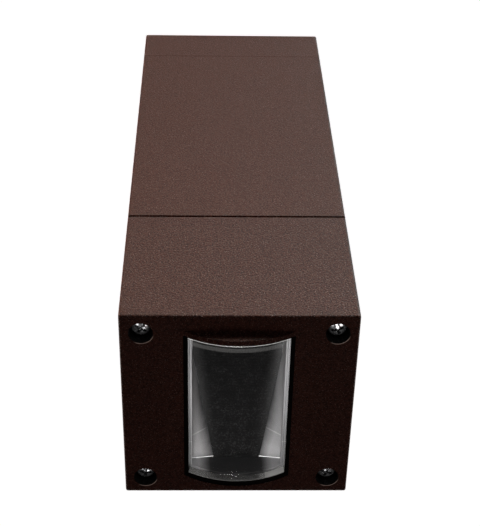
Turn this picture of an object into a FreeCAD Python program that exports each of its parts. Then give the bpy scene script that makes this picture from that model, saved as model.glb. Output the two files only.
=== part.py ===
"""Square bollard light whose lit window is in the top end of its body.

The body is a cast foot, an extruded column and a cast head on one square section, clamped by four long
screws sunk in the head's end face. The origin is at the centre of the foot's underside, with +Z up.
All lengths are in millimetres.
"""
import FreeCAD, Part
import math
import os
import Sketcher
from FreeCAD import Placement, Rotation, Vector

SIZES = [
    # the square body
    ("body_width", 110.0, "side of the square section"),
    ("foot_height", 31.0, "height of the cast foot's outer band"),
    ("column_length", 185.0, "length of the extrusion"),
    ("gasket_thick", 1.5, "joint gasket between column and head"),
    ("head_height", 82.5, "height of the head casting without its lips"),
    ("edge_round", 1.2, "radius on the outer edges"),
    ("fit_gap", 0.2, "clearance between parts that fit together"),
    # foot
    ("foot_wall", 8.0, "thickness of the foot's side walls"),
    ("foot_floor", 6.0, "thickness of the foot's floor"),
    ("anchor_spacing", 60.0, "spacing of the anchor bolt holes"),
    ("anchor_hole", 9.0, "diameter of an anchor bolt hole"),
    ("entry_hole", 30.0, "diameter of the cable hole in the floor"),
    ("tongue_height", 18.0, "height of the tongues that locate the column"),
    ("tongue_width", 74.0, "width of a tongue"),
    ("tongue_thick", 4.0, "thickness of a tongue"),
    ("tongue_gap", 0.5, "clearance between tongue and column"),
    ("grommet_bore", 20.0, "cable bore of the rubber grommet"),
    ("grommet_flange", 3.0, "how far the grommet's flange laps the floor"),
    ("grommet_lap", 2.5, "thickness of that flange"),
    ("grommet_raise", 0.5, "height of the grommet's lower end"),
    # column
    ("column_wall", 3.5, "wall of the extrusion"),
    ("screw_inset", 10.0, "distance of the long screws from the outer faces"),
    ("port_radius", 7.0, "outer radius of a screw port"),
    ("screw_radius", 2.5, "shank radius of the long screws"),
    ("thread_gap", 0.1, "radial gap in a threaded hole, whose thread is left out"),
    ("grub_radius", 3.0, "radius of a column set screw"),
    ("grub_length", 3.2, "length of a column set screw"),
    ("grub_bite", 0.3, "gap between a backed-off set screw and its tongue"),
    ("grub_height", 9.0, "height of the set screws above the column's lower end"),
    ("grub_spacing", 50.0, "spacing of the set screws on one side"),
    # head casting
    ("head_wall", 4.0, "side wall of the head"),
    ("head_plate", 6.0, "thickness of the head's end plate"),
    ("boss_side", 18.0, "side of a corner boss, measured from the outer face"),
    ("screw_hole", 5.5, "clearance hole for a long screw"),
    ("sink_radius", 5.65, "radius of a counterbore"),
    ("sink_depth", 8.0, "depth of a counterbore"),
    ("rib_drop", 35.0, "length of the ribs that carry the heat sink"),
    ("rib_depth", 11.0, "how far a rib stands in from the wall"),
    ("rib_width", 30.0, "width of a rib"),
    ("window_width", 51.5, "width of the window opening"),
    ("window_length", 87.7, "length of the window between its lips"),
    ("lip_thick", 2.5, "thickness of the raised lip at each end of the window"),
    ("lip_bulge", 7.5, "height of a lip above the end face"),
    # long screws and washers
    ("long_screw", 99.0, "shank length of a long screw"),
    ("pan_radius", 4.6, "head radius of a long screw"),
    ("pan_height", 3.6, "head height of a long screw"),
    ("washer_thick", 1.0, "thickness of a sealing washer"),
    ("washer_radius", 5.2, "outer radius of a sealing washer"),
    # joint gasket
    ("gasket_recess", 1.5, "how far the gasket lies inside the outer faces"),
    ("gasket_width", 6.5, "width of the gasket ring"),
    # window
    ("seal_width", 1.8, "visible width of the seal round the glass"),
    ("glass_thick", 4.0, "thickness of the curved glass"),
    ("glass_recess", 0.5, "how far the glass lies below the lips"),
    ("seal_recess", 0.3, "how far the seal lies below the lips"),
    ("frame_thick", 2.5, "thickness of the frame under the glass"),
    ("frame_margin", 6.5, "how far the frame laps the end plate beside the window"),
    ("frame_gap", 0.65, "gap between the frame's ends and the head's walls"),
    ("frame_land", 1.05, "how far the frame carries the glass edge"),
    ("frame_screw_inset", 3.2, "distance of the frame screws from the frame's edge"),
    ("frame_screw_pitch", 36.0, "pitch of the frame screws"),
    # optics
    ("sheet", 0.8, "thickness of the reflector sheet"),
    ("mouth_depth", 8.4, "depth of the lower edge of the reflector's mouth"),
    ("optic_depth", 21.6, "depth of the middle of the sloping optic"),
    ("optic_tilt", 16.5, "slope of the optic, in degrees"),
    ("optic_narrow", 23.0, "width of the optic at its shallow end"),
    ("optic_bend", 13.0, "distance from the middle to where the optic starts to narrow"),
    ("optic_thick", 2.0, "thickness of the prismatic plate"),
    ("optic_lap", 2.5, "how far the plate laps the reflector's floor"),
    ("glass_air", 0.5, "gap between the reflector's rim and the glass"),
    # light engine
    ("board_width", 26.0, "width of the circuit board"),
    ("board_length", 66.0, "length of the circuit board"),
    ("board_thick", 1.6, "thickness of the circuit board"),
    ("pad_thick", 0.5, "thickness of the thermal pad"),
    ("led_side", 3.0, "side of an emitter"),
    ("led_height", 0.8, "height of an emitter"),
    ("led_air", 0.2, "gap above the emitters in the pocket"),
    ("led_pitch", 8.0, "pitch of the emitters along the board"),
    ("led_rows", 10.0, "distance between the two rows of emitters"),
    # heat sink
    ("sink_width", 48.0, "width of the wedge under the optic"),
    ("sink_base", 6.0, "thickness of the heat sink's base"),
    ("sink_wing", 36.0, "depth of the wings that reach the ribs"),
    ("fin_height", 12.0, "height of the fins"),
    ("fin_thick", 1.6, "thickness of a fin"),
    ("fin_pitch", 6.0, "pitch of the fins"),
    ("fin_length", 60.0, "length of the fins"),
    ("bolt_radius", 2.0, "shank radius of the small machine screws"),
    ("bolt_pitch", 14.0, "pitch of the heat sink screws"),
    ("small_radius", 1.5, "shank radius of the small screws"),
    ("small_head", 2.8, "head radius of the small screws"),
    ("small_height", 1.9, "head height of the small screws"),
    ("small_reach", 1.0, "how far a small screw's tip stands out behind the tray"),
    # gear tray
    ("tray_sheet", 2.0, "thickness of the tray's sheet"),
    ("tray_offset", 12.0, "distance of the tray's front face from the middle"),
    ("tray_ear", 12.0, "width of a tray ear"),
    ("ear_lap", 4.0, "how far an ear overlaps the plate sideways"),
    ("ear_root", 10.0, "how far an ear laps the plate's height"),
    ("wing_gap", 1.0, "gap between the heat sink's wings and the head's walls"),
    ("tray_tail", 26.0, "length of the tray below the terminal block"),
    ("driver_width", 60.0, "width of the driver case"),
    ("driver_depth", 28.0, "depth of the driver case"),
    ("driver_gap", 16.0, "gap between the fins and the driver"),
    ("driver_length", 95.0, "length of the driver"),
    ("ear_width", 8.0, "width of the driver's fixing ears"),
    ("ear_thick", 3.0, "thickness of the fixing ears"),
    ("terminal_pitch", 12.0, "pitch of the three terminals"),
    ("terminal_gap", 16.0, "gap between the driver and the terminal block"),
    ("terminal_height", 16.0, "height of the terminal block"),
    ("terminal_depth", 15.0, "depth of the terminal block"),
    ("grip_width", 34.0, "width of the cord grip's saddle"),
    ("grip_height", 9.0, "height and depth of the saddle"),
    ("grip_channel", 5.0, "radius of the saddle's channel"),
    ("earth_x", 31.0, "sideways place of the earth lug"),
    ("lug_thick", 1.2, "thickness of the earth lug"),
    ("lead_radius", 1.0, "radius of an insulated lead"),
]

LED_COUNT = 7
FIN_COUNT = 11
TERMINALS = 3

doc = FreeCAD.newDocument("BollardLight")
sheet = doc.addObject("Spreadsheet::Sheet", "Sizes")
for row, (alias, value, note) in enumerate(SIZES, start=1):
    sheet.set(f"A{row}", str(value))
    sheet.setAlias(f"A{row}", alias)
    sheet.set(f"B{row}", note)
doc.recompute()

parts = {}


def size(name):
    """The value of one cell."""
    return float(sheet.get(name))


def ex(formula):
    """The formula as FreeCAD reads it: an @ marks each of the sheet's names."""
    return formula.replace("@", "Sizes.")


# levels and distances that several parts share
FOOT_TOP = "@foot_height"
COLUMN_TOP = "(@foot_height + @column_length)"
HEAD_FLOOR = f"({COLUMN_TOP} + @gasket_thick)"
FACE = f"({HEAD_FLOOR} + @head_height)"
PLATE_UNDER = f"({FACE} - @head_plate)"
RIB_END = f"({PLATE_UNDER} - @rib_drop)"
FRAME_UNDER = f"({PLATE_UNDER} - @frame_thick)"
SCREW_SEAT = f"({FACE} - @sink_depth + @washer_thick)"
SCREW_AXIS = "(@body_width / 2 - @screw_inset)"
COLUMN_INNER = "(@body_width / 2 - @column_wall)"
HEAD_INNER = "(@body_width / 2 - @head_wall)"
TONGUE_OUTER = f"({COLUMN_INNER} - @tongue_gap)"
LIP_RADIUS = "((@window_width ^ 2 / 4 + @lip_bulge ^ 2) / (2 * @lip_bulge))"
ARC_LEVEL = f"({FACE} + @lip_bulge - {LIP_RADIUS})"
GLASS_RADIUS = f"({LIP_RADIUS} - @glass_recess)"
GLASS_WIDTH = "(@window_width - 2 * @seal_width)"
GLASS_LENGTH = "(@window_length - 2 * @seal_width)"
FRAME_OPEN_WIDTH = f"({GLASS_WIDTH} - 2 * @frame_land)"
FRAME_OPEN_LENGTH = f"({GLASS_LENGTH} - 2 * @frame_land)"
MOUTH_WIDTH = f"({FRAME_OPEN_WIDTH} - 2 * @fit_gap)"
MOUTH_LENGTH = f"({FRAME_OPEN_LENGTH} - 2 * @fit_gap)"
INNER_WIDTH = f"({MOUTH_WIDTH} - 2 * @sheet)"
INNER_LENGTH = f"({MOUTH_LENGTH} - 2 * @sheet)"
MOUTH_LEVEL = f"({FACE} - @mouth_depth)"
OPTIC_LEVEL = f"({FACE} - @optic_depth)"
TILT = "(@optic_tilt * 1 deg)"
BOARD_FLOOR = "(@sheet + @led_air + @led_height + @board_thick)"
POCKET_DEPTH = f"({BOARD_FLOOR} + @pad_thick)"
SINK_UNDER = f"({RIB_END} - @sink_base)"
FIN_END = f"({SINK_UNDER} - @fin_height)"
TRAY_TOP = f"({SINK_UNDER} - @tray_sheet)"
BOLT_AXIS = f"({HEAD_INNER} - @rib_depth / 2)"
SMALL_HOLE = "(@small_radius + @thread_gap)"
EAR_X = f"({HEAD_INNER} - @wing_gap - @tray_ear / 2)"
TRAY_WIDTH = f"(2 * ({HEAD_INNER} - @wing_gap - @tray_ear + @ear_lap))"
DRIVER_TOP = f"({FIN_END} - @driver_gap)"
DRIVER_BOTTOM = f"({DRIVER_TOP} - @driver_length)"
TERMINAL_BOTTOM = f"({DRIVER_BOTTOM} - @terminal_gap - @terminal_height)"
TRAY_BOTTOM = f"({TERMINAL_BOTTOM} - @tray_tail)"
LEAD_X = "@led_rows / 2"
LEAD_Y = "(-@board_length / 2 - 2.6)"
GRIP_LEVEL = f"({TRAY_BOTTOM} + 4)"
EARTH_Z = f"({TERMINAL_BOTTOM} - 6)"


def bind(thing, name, formula):
    """Ties a property to a formula of the sheet's cells."""
    thing.setExpression(name, ex(formula))


def place(thing, x="0", y="0", z="0"):
    """Ties a part's position to the sheet."""
    for axis, formula in zip("xyz", (x, y, z)):
        if formula != "0":
            bind(thing, f"Placement.Base.{axis}", formula)


def tilt(thing, drop="0"):
    """Lays a part on the sloping optic's plane, moved along its normal by drop."""
    thing.Placement = Placement(Vector(), Rotation(Vector(1, 0, 0), size("optic_tilt")))
    bind(thing, "Placement.Rotation.Angle", TILT)
    bind(thing, "Placement.Base.y", f"-({drop}) * sin({TILT})")
    bind(thing, "Placement.Base.z", f"{OPTIC_LEVEL} + ({drop}) * cos({TILT})")


# ---------------------------------------------------------------- primitives and booleans

def block(name, wide, deep, high, x="0", y="0", z="0"):
    """A box centred on x and y that stands on z."""
    thing = doc.addObject("Part::Box", name)
    for prop, formula in (("Length", wide), ("Width", deep), ("Height", high)):
        bind(thing, prop, formula)
    place(thing, f"{x} - ({wide}) / 2", f"{y} - ({deep}) / 2", z)
    return thing


def rod(name, radius, length, x="0", y="0", z="0", turn=None):
    """A cylinder from the given point along +Z, or along the axis that turn swings +Z to."""
    thing = doc.addObject("Part::Cylinder", name)
    bind(thing, "Radius", radius)
    bind(thing, "Height", length)
    if turn:
        thing.Placement = Placement(Vector(), turn)
    place(thing, x, y, z)
    return thing


TOWARDS_Y = Rotation(Vector(1, 0, 0), -90)
TOWARDS_MINUS_Y = Rotation(Vector(1, 0, 0), 90)
TOWARDS_X = Rotation(Vector(0, 1, 0), 90)
TOWARDS_MINUS_X = Rotation(Vector(0, 1, 0), -90)
HALF_TURN = Rotation(Vector(1, 0, 0), 180)


def fuse(name, things):
    joined = doc.addObject("Part::MultiFuse", name)
    joined.Shapes = things
    joined.Refine = True
    return joined


def common(name, first, second):
    shared = doc.addObject("Part::Common", name)
    shared.Base = first
    shared.Tool = second
    return shared


def cut(name, base, tools):
    """Takes each tool from the base, as one cut."""
    left = doc.addObject("Part::Cut", name)
    left.Base = base
    left.Tool = tools[0] if len(tools) == 1 else fuse(name + "_tools", tools)
    return left


def copies(name, master, spots):
    """Groups one linked copy of the master at each (x, y, z) spot as a single part."""
    links = []
    for number, spot in enumerate(spots, start=1):
        link = doc.addObject("App::Link", f"{name}_{number}")
        link.LinkedObject = master
        link.LinkTransform = True
        place(link, *spot)
        links.append(link)
    group = doc.addObject("Part::Compound", name)
    group.Links = links
    return group


def turned(name, master, turn):
    """The master swung from +Z to another direction."""
    thing = doc.addObject("Part::Compound", name)
    thing.Links = [master]
    thing.Placement = Placement(Vector(), turn)
    return thing


def keep(node, thing):
    """Registers a finished sub-part under its node name."""
    thing.Label = node
    parts[node] = thing


def corner_spots(x, y, z="0"):
    """The four corners (+-x, +-y) at one level."""
    return [(f"{sx} * {x}", f"{sy} * {y}", z) for sx in (1, -1) for sy in (1, -1)]


def pan_screw(name, shank, length, head, height):
    """A cross-recessed screw standing on its tip side down: the head's underside is at z = 0."""
    thread = rod(name + "_shank", shank, f"({length}) + 0.1", z=f"-({length})")
    rim = rod(name + "_rim", head, f"({height}) * 0.6")
    crown = doc.addObject("Part::Cone", name + "_crown")
    bind(crown, "Radius1", head)
    bind(crown, "Radius2", f"({head}) * 0.72")
    bind(crown, "Height", f"({height}) * 0.4")
    place(crown, z=f"({height}) * 0.6")
    solid = fuse(name + "_solid", [thread, rim, crown])
    long_way, short_way = f"({head}) * 1.1", f"({head}) * 0.24"
    deep, level = f"({height}) * 0.6", f"({height}) * 0.45"
    slots = [
        block(name + "_slot_a", long_way, short_way, deep, z=level),
        block(name + "_slot_b", short_way, long_way, deep, z=level),
    ]
    return cut(name, solid, slots)


def small_screw(name, length):
    return pan_screw(name, "@small_radius", length, "@small_head", "@small_height")


# ---------------------------------------------------------------- sketched bodies

def new_body(name):
    return doc.addObject("PartDesign::Body", name)


def sketch_on(body, name, role="XY_Plane", lift="0"):
    """A sketch on one of the body's own origin planes, moved along its normal by lift."""
    plane = next(item for item in body.Origin.OriginFeatures if item.Role == role)
    sketch = body.newObject("Sketcher::SketchObject", name)
    sketch.AttachmentSupport = [(plane, "")]
    sketch.MapMode = "FlatFace"
    if lift != "0":
        bind(sketch, "AttachmentOffset.Base.z", lift)
    return sketch


def pin(sketch, element, point, x, y):
    """Dimensions one point of a sketch from the origin."""
    for kind, formula in (("DistanceX", x), ("DistanceY", y)):
        start = sketch.evalExpression(ex(formula)) if formula != "0" else 0.0
        start = float(getattr(start, "Value", start))
        number = sketch.addConstraint(Sketcher.Constraint(kind, -1, 1, element, point, start))
        if formula != "0":
            bind(sketch, f"Constraints[{number}]", formula)


def outline(sketch, points):
    """A closed outline of straight lines through the given (x, y) points."""
    values = []
    for x, y in points:
        pair = [sketch.evalExpression(ex(formula)) for formula in (x, y)]
        values.append(Vector(*[float(getattr(value, "Value", value)) for value in pair], 0))
    first = sketch.GeometryCount
    count = len(points)
    for number in range(count):
        sketch.addGeometry(Part.LineSegment(values[number], values[(number + 1) % count]))
    for number in range(count):
        after = first + (number + 1) % count
        sketch.addConstraint(Sketcher.Constraint("Coincident", first + number, 2, after, 1))
    for number, (x, y) in enumerate(points):
        pin(sketch, first + number, 1, x, y)


def rectangle(sketch, wide, deep, x="0", y="0"):
    """A rectangle of the given size centred on (x, y)."""
    left, right = f"{x} - ({wide}) / 2", f"{x} + ({wide}) / 2"
    low, high = f"{y} - ({deep}) / 2", f"{y} + ({deep}) / 2"
    outline(sketch, [(left, low), (right, low), (right, high), (left, high)])


def circle(sketch, radius, x="0", y="0"):
    value = sketch.evalExpression(ex(radius))
    value = float(getattr(value, "Value", value))
    number = sketch.addGeometry(Part.Circle(Vector(), Vector(0, 0, 1), value))
    bound = sketch.addConstraint(Sketcher.Constraint("Radius", number, value))
    bind(sketch, f"Constraints[{bound}]", radius)
    pin(sketch, number, 3, x, y)


def pad(body, name, sketch, length, both_ways=False):
    feature = body.newObject("PartDesign::Pad", name)
    feature.Profile = sketch
    bind(feature, "Length", length)
    if both_ways:
        feature.SideType = "Symmetric"
    doc.recompute()
    return feature


def pocket(body, name, sketch, length=None, upward=False):
    """Removes the sketch's profile: downward or upward by a length, or through everything both ways."""
    before = body.Shape.Volume
    feature = body.newObject("PartDesign::Pocket", name)
    feature.Profile = sketch
    feature.Reversed = upward
    if length:
        bind(feature, "Length", length)
    else:
        feature.Type = "ThroughAll"
        feature.SideType = "Symmetric"
    doc.recompute()
    if not body.Shape.Volume < before:
        raise RuntimeError(name + " removes nothing")
    return feature


def round_edges(body, name, chosen, radius):
    """Rounds the edges that chosen(edge) picks on the body's present tip."""
    base = body.Tip
    names = [f"Edge{n}" for n, edge in enumerate(base.Shape.Edges, start=1) if chosen(edge)]
    feature = body.newObject("PartDesign::Fillet", name)
    feature.Base = (base, names)
    bind(feature, "Radius", radius)
    doc.recompute()
    return feature


def on_outer_corner(edge):
    """True for an upright edge at a corner of the square section."""
    box = edge.BoundBox
    half = size("body_width") / 2
    upright = box.XLength < 0.01 and box.YLength < 0.01
    return upright and abs(abs(box.Center.x) - half) < 0.01 and abs(abs(box.Center.y) - half) < 0.01


# ---------------------------------------------------------------- foot

def foot():
    body = new_body("FootBody")
    outer = sketch_on(body, "FootOutline")
    rectangle(outer, "@body_width", "@body_width")
    pad(body, "FootBlock", outer, FOOT_TOP)
    round_edges(body, "FootEdges", on_outer_corner, "@edge_round")
    inside = sketch_on(body, "FootHollow", lift="@foot_floor")
    rectangle(inside, "@body_width - 2 * @foot_wall", "@body_width - 2 * @foot_wall")
    pocket(body, "FootHollowCut", inside, "@foot_height", upward=True)
    tongues = sketch_on(body, "FootTongues", lift="@foot_floor")
    middle = f"({TONGUE_OUTER} - @tongue_thick / 2)"
    for sign in (1, -1):
        rectangle(tongues, "@tongue_width", "@tongue_thick", y=f"{sign} * {middle}")
        rectangle(tongues, "@tongue_thick", "@tongue_width", x=f"{sign} * {middle}")
    pad(body, "FootTonguesPad", tongues, "@foot_height - @foot_floor + @tongue_height")
    holes = sketch_on(body, "FootHoles")
    circle(holes, "@entry_hole / 2")
    for x, y, _ in corner_spots("@anchor_spacing / 2", "@anchor_spacing / 2"):
        circle(holes, "@anchor_hole / 2", x, y)
    pocket(body, "FootHolesCut", holes, "@foot_floor + 1", upward=True)
    keep("foot", body)


def entry_grommet():
    sleeve = rod("GrommetSleeve", "@entry_hole / 2", "@foot_floor - @grommet_raise + 0.1", z="@grommet_raise")
    flange = rod("GrommetFlange", "@entry_hole / 2 + @grommet_flange", "@grommet_lap", z="@foot_floor")
    bore = rod("GrommetBore", "@grommet_bore / 2", "@foot_floor + @grommet_lap + 1")
    keep("entry_grommet", cut("Grommet", fuse("GrommetSolid", [sleeve, flange]), [bore]))


def earth_stud():
    """A stud and nut on the foot's floor, behind the cable hole."""
    stud = rod("StudShank", "@bolt_radius", "16", y="36", z="@foot_floor")
    nut = doc.addObject("Part::Prism", "StudNut")
    nut.Polygon = 6
    bind(nut, "Circumradius", "@bolt_radius * 2.1")
    bind(nut, "Height", "@bolt_radius * 1.6")
    place(nut, y="36", z="@foot_floor")
    keep("earth_stud", fuse("Stud", [stud, nut]))


# ---------------------------------------------------------------- column

def column():
    body = new_body("ColumnBody")
    place(body, z=FOOT_TOP)
    outer = sketch_on(body, "ColumnOutline")
    rectangle(outer, "@body_width", "@body_width")
    pad(body, "ColumnBlock", outer, "@column_length")
    round_edges(body, "ColumnEdges", on_outer_corner, "@edge_round")
    inside = sketch_on(body, "ColumnHollow")
    rectangle(inside, f"2 * {COLUMN_INNER}", f"2 * {COLUMN_INNER}")
    pocket(body, "ColumnHollowCut", inside)
    ports = sketch_on(body, "ColumnPorts")
    for x, y, _ in corner_spots(SCREW_AXIS, SCREW_AXIS):
        circle(ports, "@port_radius", x, y)
    pad(body, "ColumnPortsPad", ports, "@column_length")
    bores = sketch_on(body, "ColumnBores")
    for x, y, _ in corner_spots(SCREW_AXIS, SCREW_AXIS):
        circle(bores, "@screw_radius + @thread_gap", x, y)
    pocket(body, "ColumnBoresCut", bores)
    grubs = sketch_on(body, "ColumnGrubHoles", role="YZ_Plane")
    for sign in (1, -1):
        circle(grubs, "@grub_radius + @thread_gap", f"{sign} * @grub_spacing / 2", "@grub_height")
    pocket(body, "ColumnGrubHolesCut", grubs)
    keep("column", body)


def column_set_screws():
    """Four socket set screws, two on each side, that press on the foot's tongues."""
    groups = []
    for side, turn in ((1, TOWARDS_X), (-1, TOWARDS_MINUS_X)):
        tip = f"({TONGUE_OUTER} + @grub_bite)"
        screw = rod(f"Grub{side}", "@grub_radius", "@grub_length", turn=turn)
        socket = doc.addObject("Part::Prism", f"GrubSocket{side}")
        socket.Polygon = 6
        bind(socket, "Circumradius", "@grub_radius * 0.58")
        bind(socket, "Height", "@grub_length * 0.6")
        socket.Placement = Placement(Vector(), turn)
        place(socket, x=f"{side} * @grub_length * 0.45")
        master = cut(f"GrubScrew{side}", screw, [socket])
        level = f"{FOOT_TOP} + @grub_height"
        spots = [(f"{side} * {tip}", f"{end} * @grub_spacing / 2", level) for end in (1, -1)]
        groups.append(copies(f"GrubPair{side}", master, spots))
    pair = doc.addObject("Part::Compound", "Grubs")
    pair.Links = groups
    keep("column_set_screws", pair)


# ---------------------------------------------------------------- head casting and its joint

def head_housing():
    body = new_body("HeadBody")
    place(body, z=HEAD_FLOOR)
    outer = sketch_on(body, "HeadOutline")
    rectangle(outer, "@body_width", "@body_width")
    pad(body, "HeadBlock", outer, "@head_height")
    top = size("head_height")

    def outer_edge(edge):
        on_top = abs(edge.BoundBox.ZMin - top) < 0.01 and abs(edge.BoundBox.ZMax - top) < 0.01
        return on_outer_corner(edge) or on_top

    round_edges(body, "HeadEdges", outer_edge, "@edge_round")
    hollow = "(@head_height - @head_plate)"
    inside = sketch_on(body, "HeadHollow")
    rectangle(inside, f"2 * {HEAD_INNER}", f"2 * {HEAD_INNER}")
    pocket(body, "HeadHollowCut", inside, hollow, upward=True)
    bosses = sketch_on(body, "HeadBosses")
    middle = "((@body_width - @head_wall - @boss_side) / 2)"
    for x, y, _ in corner_spots(middle, middle):
        rectangle(bosses, "@boss_side - @head_wall", "@boss_side - @head_wall", x, y)
    pad(body, "HeadBossesPad", bosses, f"{hollow} + 1")
    ribs = sketch_on(body, "HeadRibs", lift=f"{hollow} - @rib_drop")
    for sign in (1, -1):
        rectangle(ribs, "@rib_depth + 1", "@rib_width", x=f"{sign} * ({HEAD_INNER} - @rib_depth / 2 + 0.5)")
    pad(body, "HeadRibsPad", ribs, "@rib_drop + 1")
    lips = sketch_on(body, "HeadLips", role="XZ_Plane")
    lip_outline(lips)
    pad(body, "HeadLipsPad", lips, "@window_length + 2 * @lip_thick", both_ways=True)
    opening = sketch_on(body, "HeadWindow", lift=f"{hollow} - 1")
    rectangle(opening, "@window_width", "@window_length")
    pocket(body, "HeadWindowCut", opening, "@head_plate + @lip_bulge + 2", upward=True)
    drill_head(body, hollow)
    keep("head_housing", body)


def lip_outline(sketch):
    """The lip seen along Y: an arc on a chord at the end face, with a short root below it."""
    half = size("window_width") / 2
    face = size("head_height")
    root = face - 1
    rise = size("lip_bulge")
    corners = [Vector(-half, face, 0), Vector(-half, root, 0), Vector(half, root, 0), Vector(half, face, 0)]
    for start, end in zip(corners, corners[1:]):
        sketch.addGeometry(Part.LineSegment(start, end))
    sketch.addGeometry(Part.Arc(corners[3], Vector(0, face + rise, 0), corners[0]))
    for first, second in ((0, 1), (1, 2)):
        sketch.addConstraint(Sketcher.Constraint("Coincident", first, 2, second, 1))
    sketch.addConstraint(Sketcher.Constraint("Coincident", 2, 2, 3, 1))
    sketch.addConstraint(Sketcher.Constraint("Coincident", 3, 2, 0, 1))
    pin(sketch, 0, 1, "-@window_width / 2", "@head_height")
    pin(sketch, 1, 1, "-@window_width / 2", "@head_height - 1")
    pin(sketch, 2, 1, "@window_width / 2", "@head_height - 1")
    pin(sketch, 3, 1, "@window_width / 2", "@head_height")
    radius = sketch.addConstraint(Sketcher.Constraint("Radius", 3, (half ** 2 + rise ** 2) / (2 * rise)))
    bind(sketch, f"Constraints[{radius}]", LIP_RADIUS)


def frame_screw_spots(z):
    x = "(@window_width / 2 + @frame_margin - @frame_screw_inset)"
    return [(f"{side} * {x}", f"{step} * @frame_screw_pitch", z) for side in (1, -1) for step in (-1, 0, 1)]


def bolt_spots(z):
    return corner_spots(BOLT_AXIS, "@bolt_pitch / 2", z)


def drill_head(body, hollow):
    """The long screws' holes and counterbores, and the blind holes for the frame and heat sink screws."""
    holes = sketch_on(body, "HeadScrewHoles")
    sinks = sketch_on(body, "HeadCounterbores", lift="@head_height - @sink_depth")
    for x, y, _ in corner_spots(SCREW_AXIS, SCREW_AXIS):
        circle(holes, "@screw_hole / 2", x, y)
        circle(sinks, "@sink_radius", x, y)
    pocket(body, "HeadScrewHolesCut", holes)
    pocket(body, "HeadCounterboresCut", sinks, "@sink_depth + 1", upward=True)
    frame_holes = sketch_on(body, "HeadFrameHoles", lift=f"{hollow}")
    for x, y, _ in frame_screw_spots("0"):
        circle(frame_holes, SMALL_HOLE, x, y)
    pocket(body, "HeadFrameHolesCut", frame_holes, "@head_plate - 2", upward=True)
    bolt_holes = sketch_on(body, "HeadBoltHoles", lift=f"{hollow} - @rib_drop")
    for x, y, _ in bolt_spots("0"):
        circle(bolt_holes, "@bolt_radius + @thread_gap", x, y)
    pocket(body, "HeadBoltHolesCut", bolt_holes, "14", upward=True)


def joint_gasket():
    body = new_body("GasketBody")
    place(body, z=COLUMN_TOP)
    ring = sketch_on(body, "GasketOutline")
    outer = "(@body_width - 2 * @gasket_recess)"
    rectangle(ring, outer, outer)
    rectangle(ring, f"{outer} - 2 * @gasket_width", f"{outer} - 2 * @gasket_width")
    pad(body, "GasketRing", ring, "@gasket_thick")
    corners = sketch_on(body, "GasketCorners")
    side = "(@boss_side - @gasket_recess)"
    middle = f"(({outer} - {side}) / 2)"
    for x, y, _ in corner_spots(middle, middle):
        rectangle(corners, side, side, x, y)
    pad(body, "GasketCornersPad", corners, "@gasket_thick")
    holes = sketch_on(body, "GasketHoles")
    for x, y, _ in corner_spots(SCREW_AXIS, SCREW_AXIS):
        circle(holes, "@screw_hole / 2 + @fit_gap", x, y)
    pocket(body, "GasketHolesCut", holes)
    keep("joint_gasket", body)


def head_screws():
    """Four long captive screws and the sealing washers under their heads."""
    screw = pan_screw("LongScrew", "@screw_radius", "@long_screw", "@pan_radius", "@pan_height")
    keep("head_screws", copies("LongScrews", screw, corner_spots(SCREW_AXIS, SCREW_AXIS, SCREW_SEAT)))
    disc = rod("WasherDisc", "@washer_radius", "@washer_thick")
    hole = rod("WasherHole", "@screw_radius + @thread_gap", "@washer_thick")
    seat = f"{SCREW_SEAT} - @washer_thick"
    washer = cut("Washer", disc, [hole])
    keep("sealing_washers", copies("Washers", washer, corner_spots(SCREW_AXIS, SCREW_AXIS, seat)))


# ---------------------------------------------------------------- window

def bulge(name, radius):
    """A cylinder along Y that the window's curved parts are cut from."""
    length = "(@window_length + 4 * @lip_thick)"
    return rod(name, radius, length, y=f"-{length} / 2", z=ARC_LEVEL, turn=TOWARDS_Y)


def window():
    tall = "(@head_plate + @lip_bulge + 2)"
    glass_block = block("GlassBlock", GLASS_WIDTH, GLASS_LENGTH, tall, z=PLATE_UNDER)
    curved = common("GlassCurve", bulge("GlassOuter", GLASS_RADIUS), glass_block)
    inner = f"({GLASS_RADIUS} - @glass_thick)"
    keep("glass", cut("Glass", curved, [bulge("GlassInner", inner)]))

    seal_block = block("SealBlock", "@window_width", "@window_length", tall, z=PLATE_UNDER)
    seal_curve = common("SealCurve", bulge("SealOuter", f"({LIP_RADIUS} - @seal_recess)"), seal_block)
    opening = block("SealOpening", GLASS_WIDTH, GLASS_LENGTH, f"{tall} + 2", z=f"{PLATE_UNDER} - 1")
    keep("glass_seal", cut("Seal", seal_curve, [opening]))

    wide = "(@window_width + 2 * @frame_margin)"
    deep = f"(2 * ({HEAD_INNER} - @frame_gap))"
    plate = block("FramePlate", wide, deep, "@frame_thick", z=FRAME_UNDER)
    collar_block = block("CollarBlock", GLASS_WIDTH, GLASS_LENGTH, tall, z=f"{PLATE_UNDER} - 0.5")
    collar = common("Collar", bulge("CollarOuter", f"({inner} - @fit_gap / 2)"), collar_block)
    hole = block("FrameOpening", FRAME_OPEN_WIDTH, FRAME_OPEN_LENGTH, "40", z=f"{FRAME_UNDER} - 10")
    drills = [
        rod(f"FrameHole{n}", "@small_radius + @fit_gap", "@frame_thick + 2", x, y, z)
        for n, (x, y, z) in enumerate(frame_screw_spots(f"{FRAME_UNDER} - 1"))
    ]
    keep("glass_frame", cut("Frame", fuse("FrameSolid", [plate, collar]), [hole] + drills))

    screw = small_screw("FrameScrew", "@frame_thick + @head_plate - 2.5")
    upside = turned("FrameScrewUp", screw, HALF_TURN)
    keep("frame_screws", copies("FrameScrews", upside, frame_screw_spots(FRAME_UNDER)))


# ---------------------------------------------------------------- optics

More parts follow.
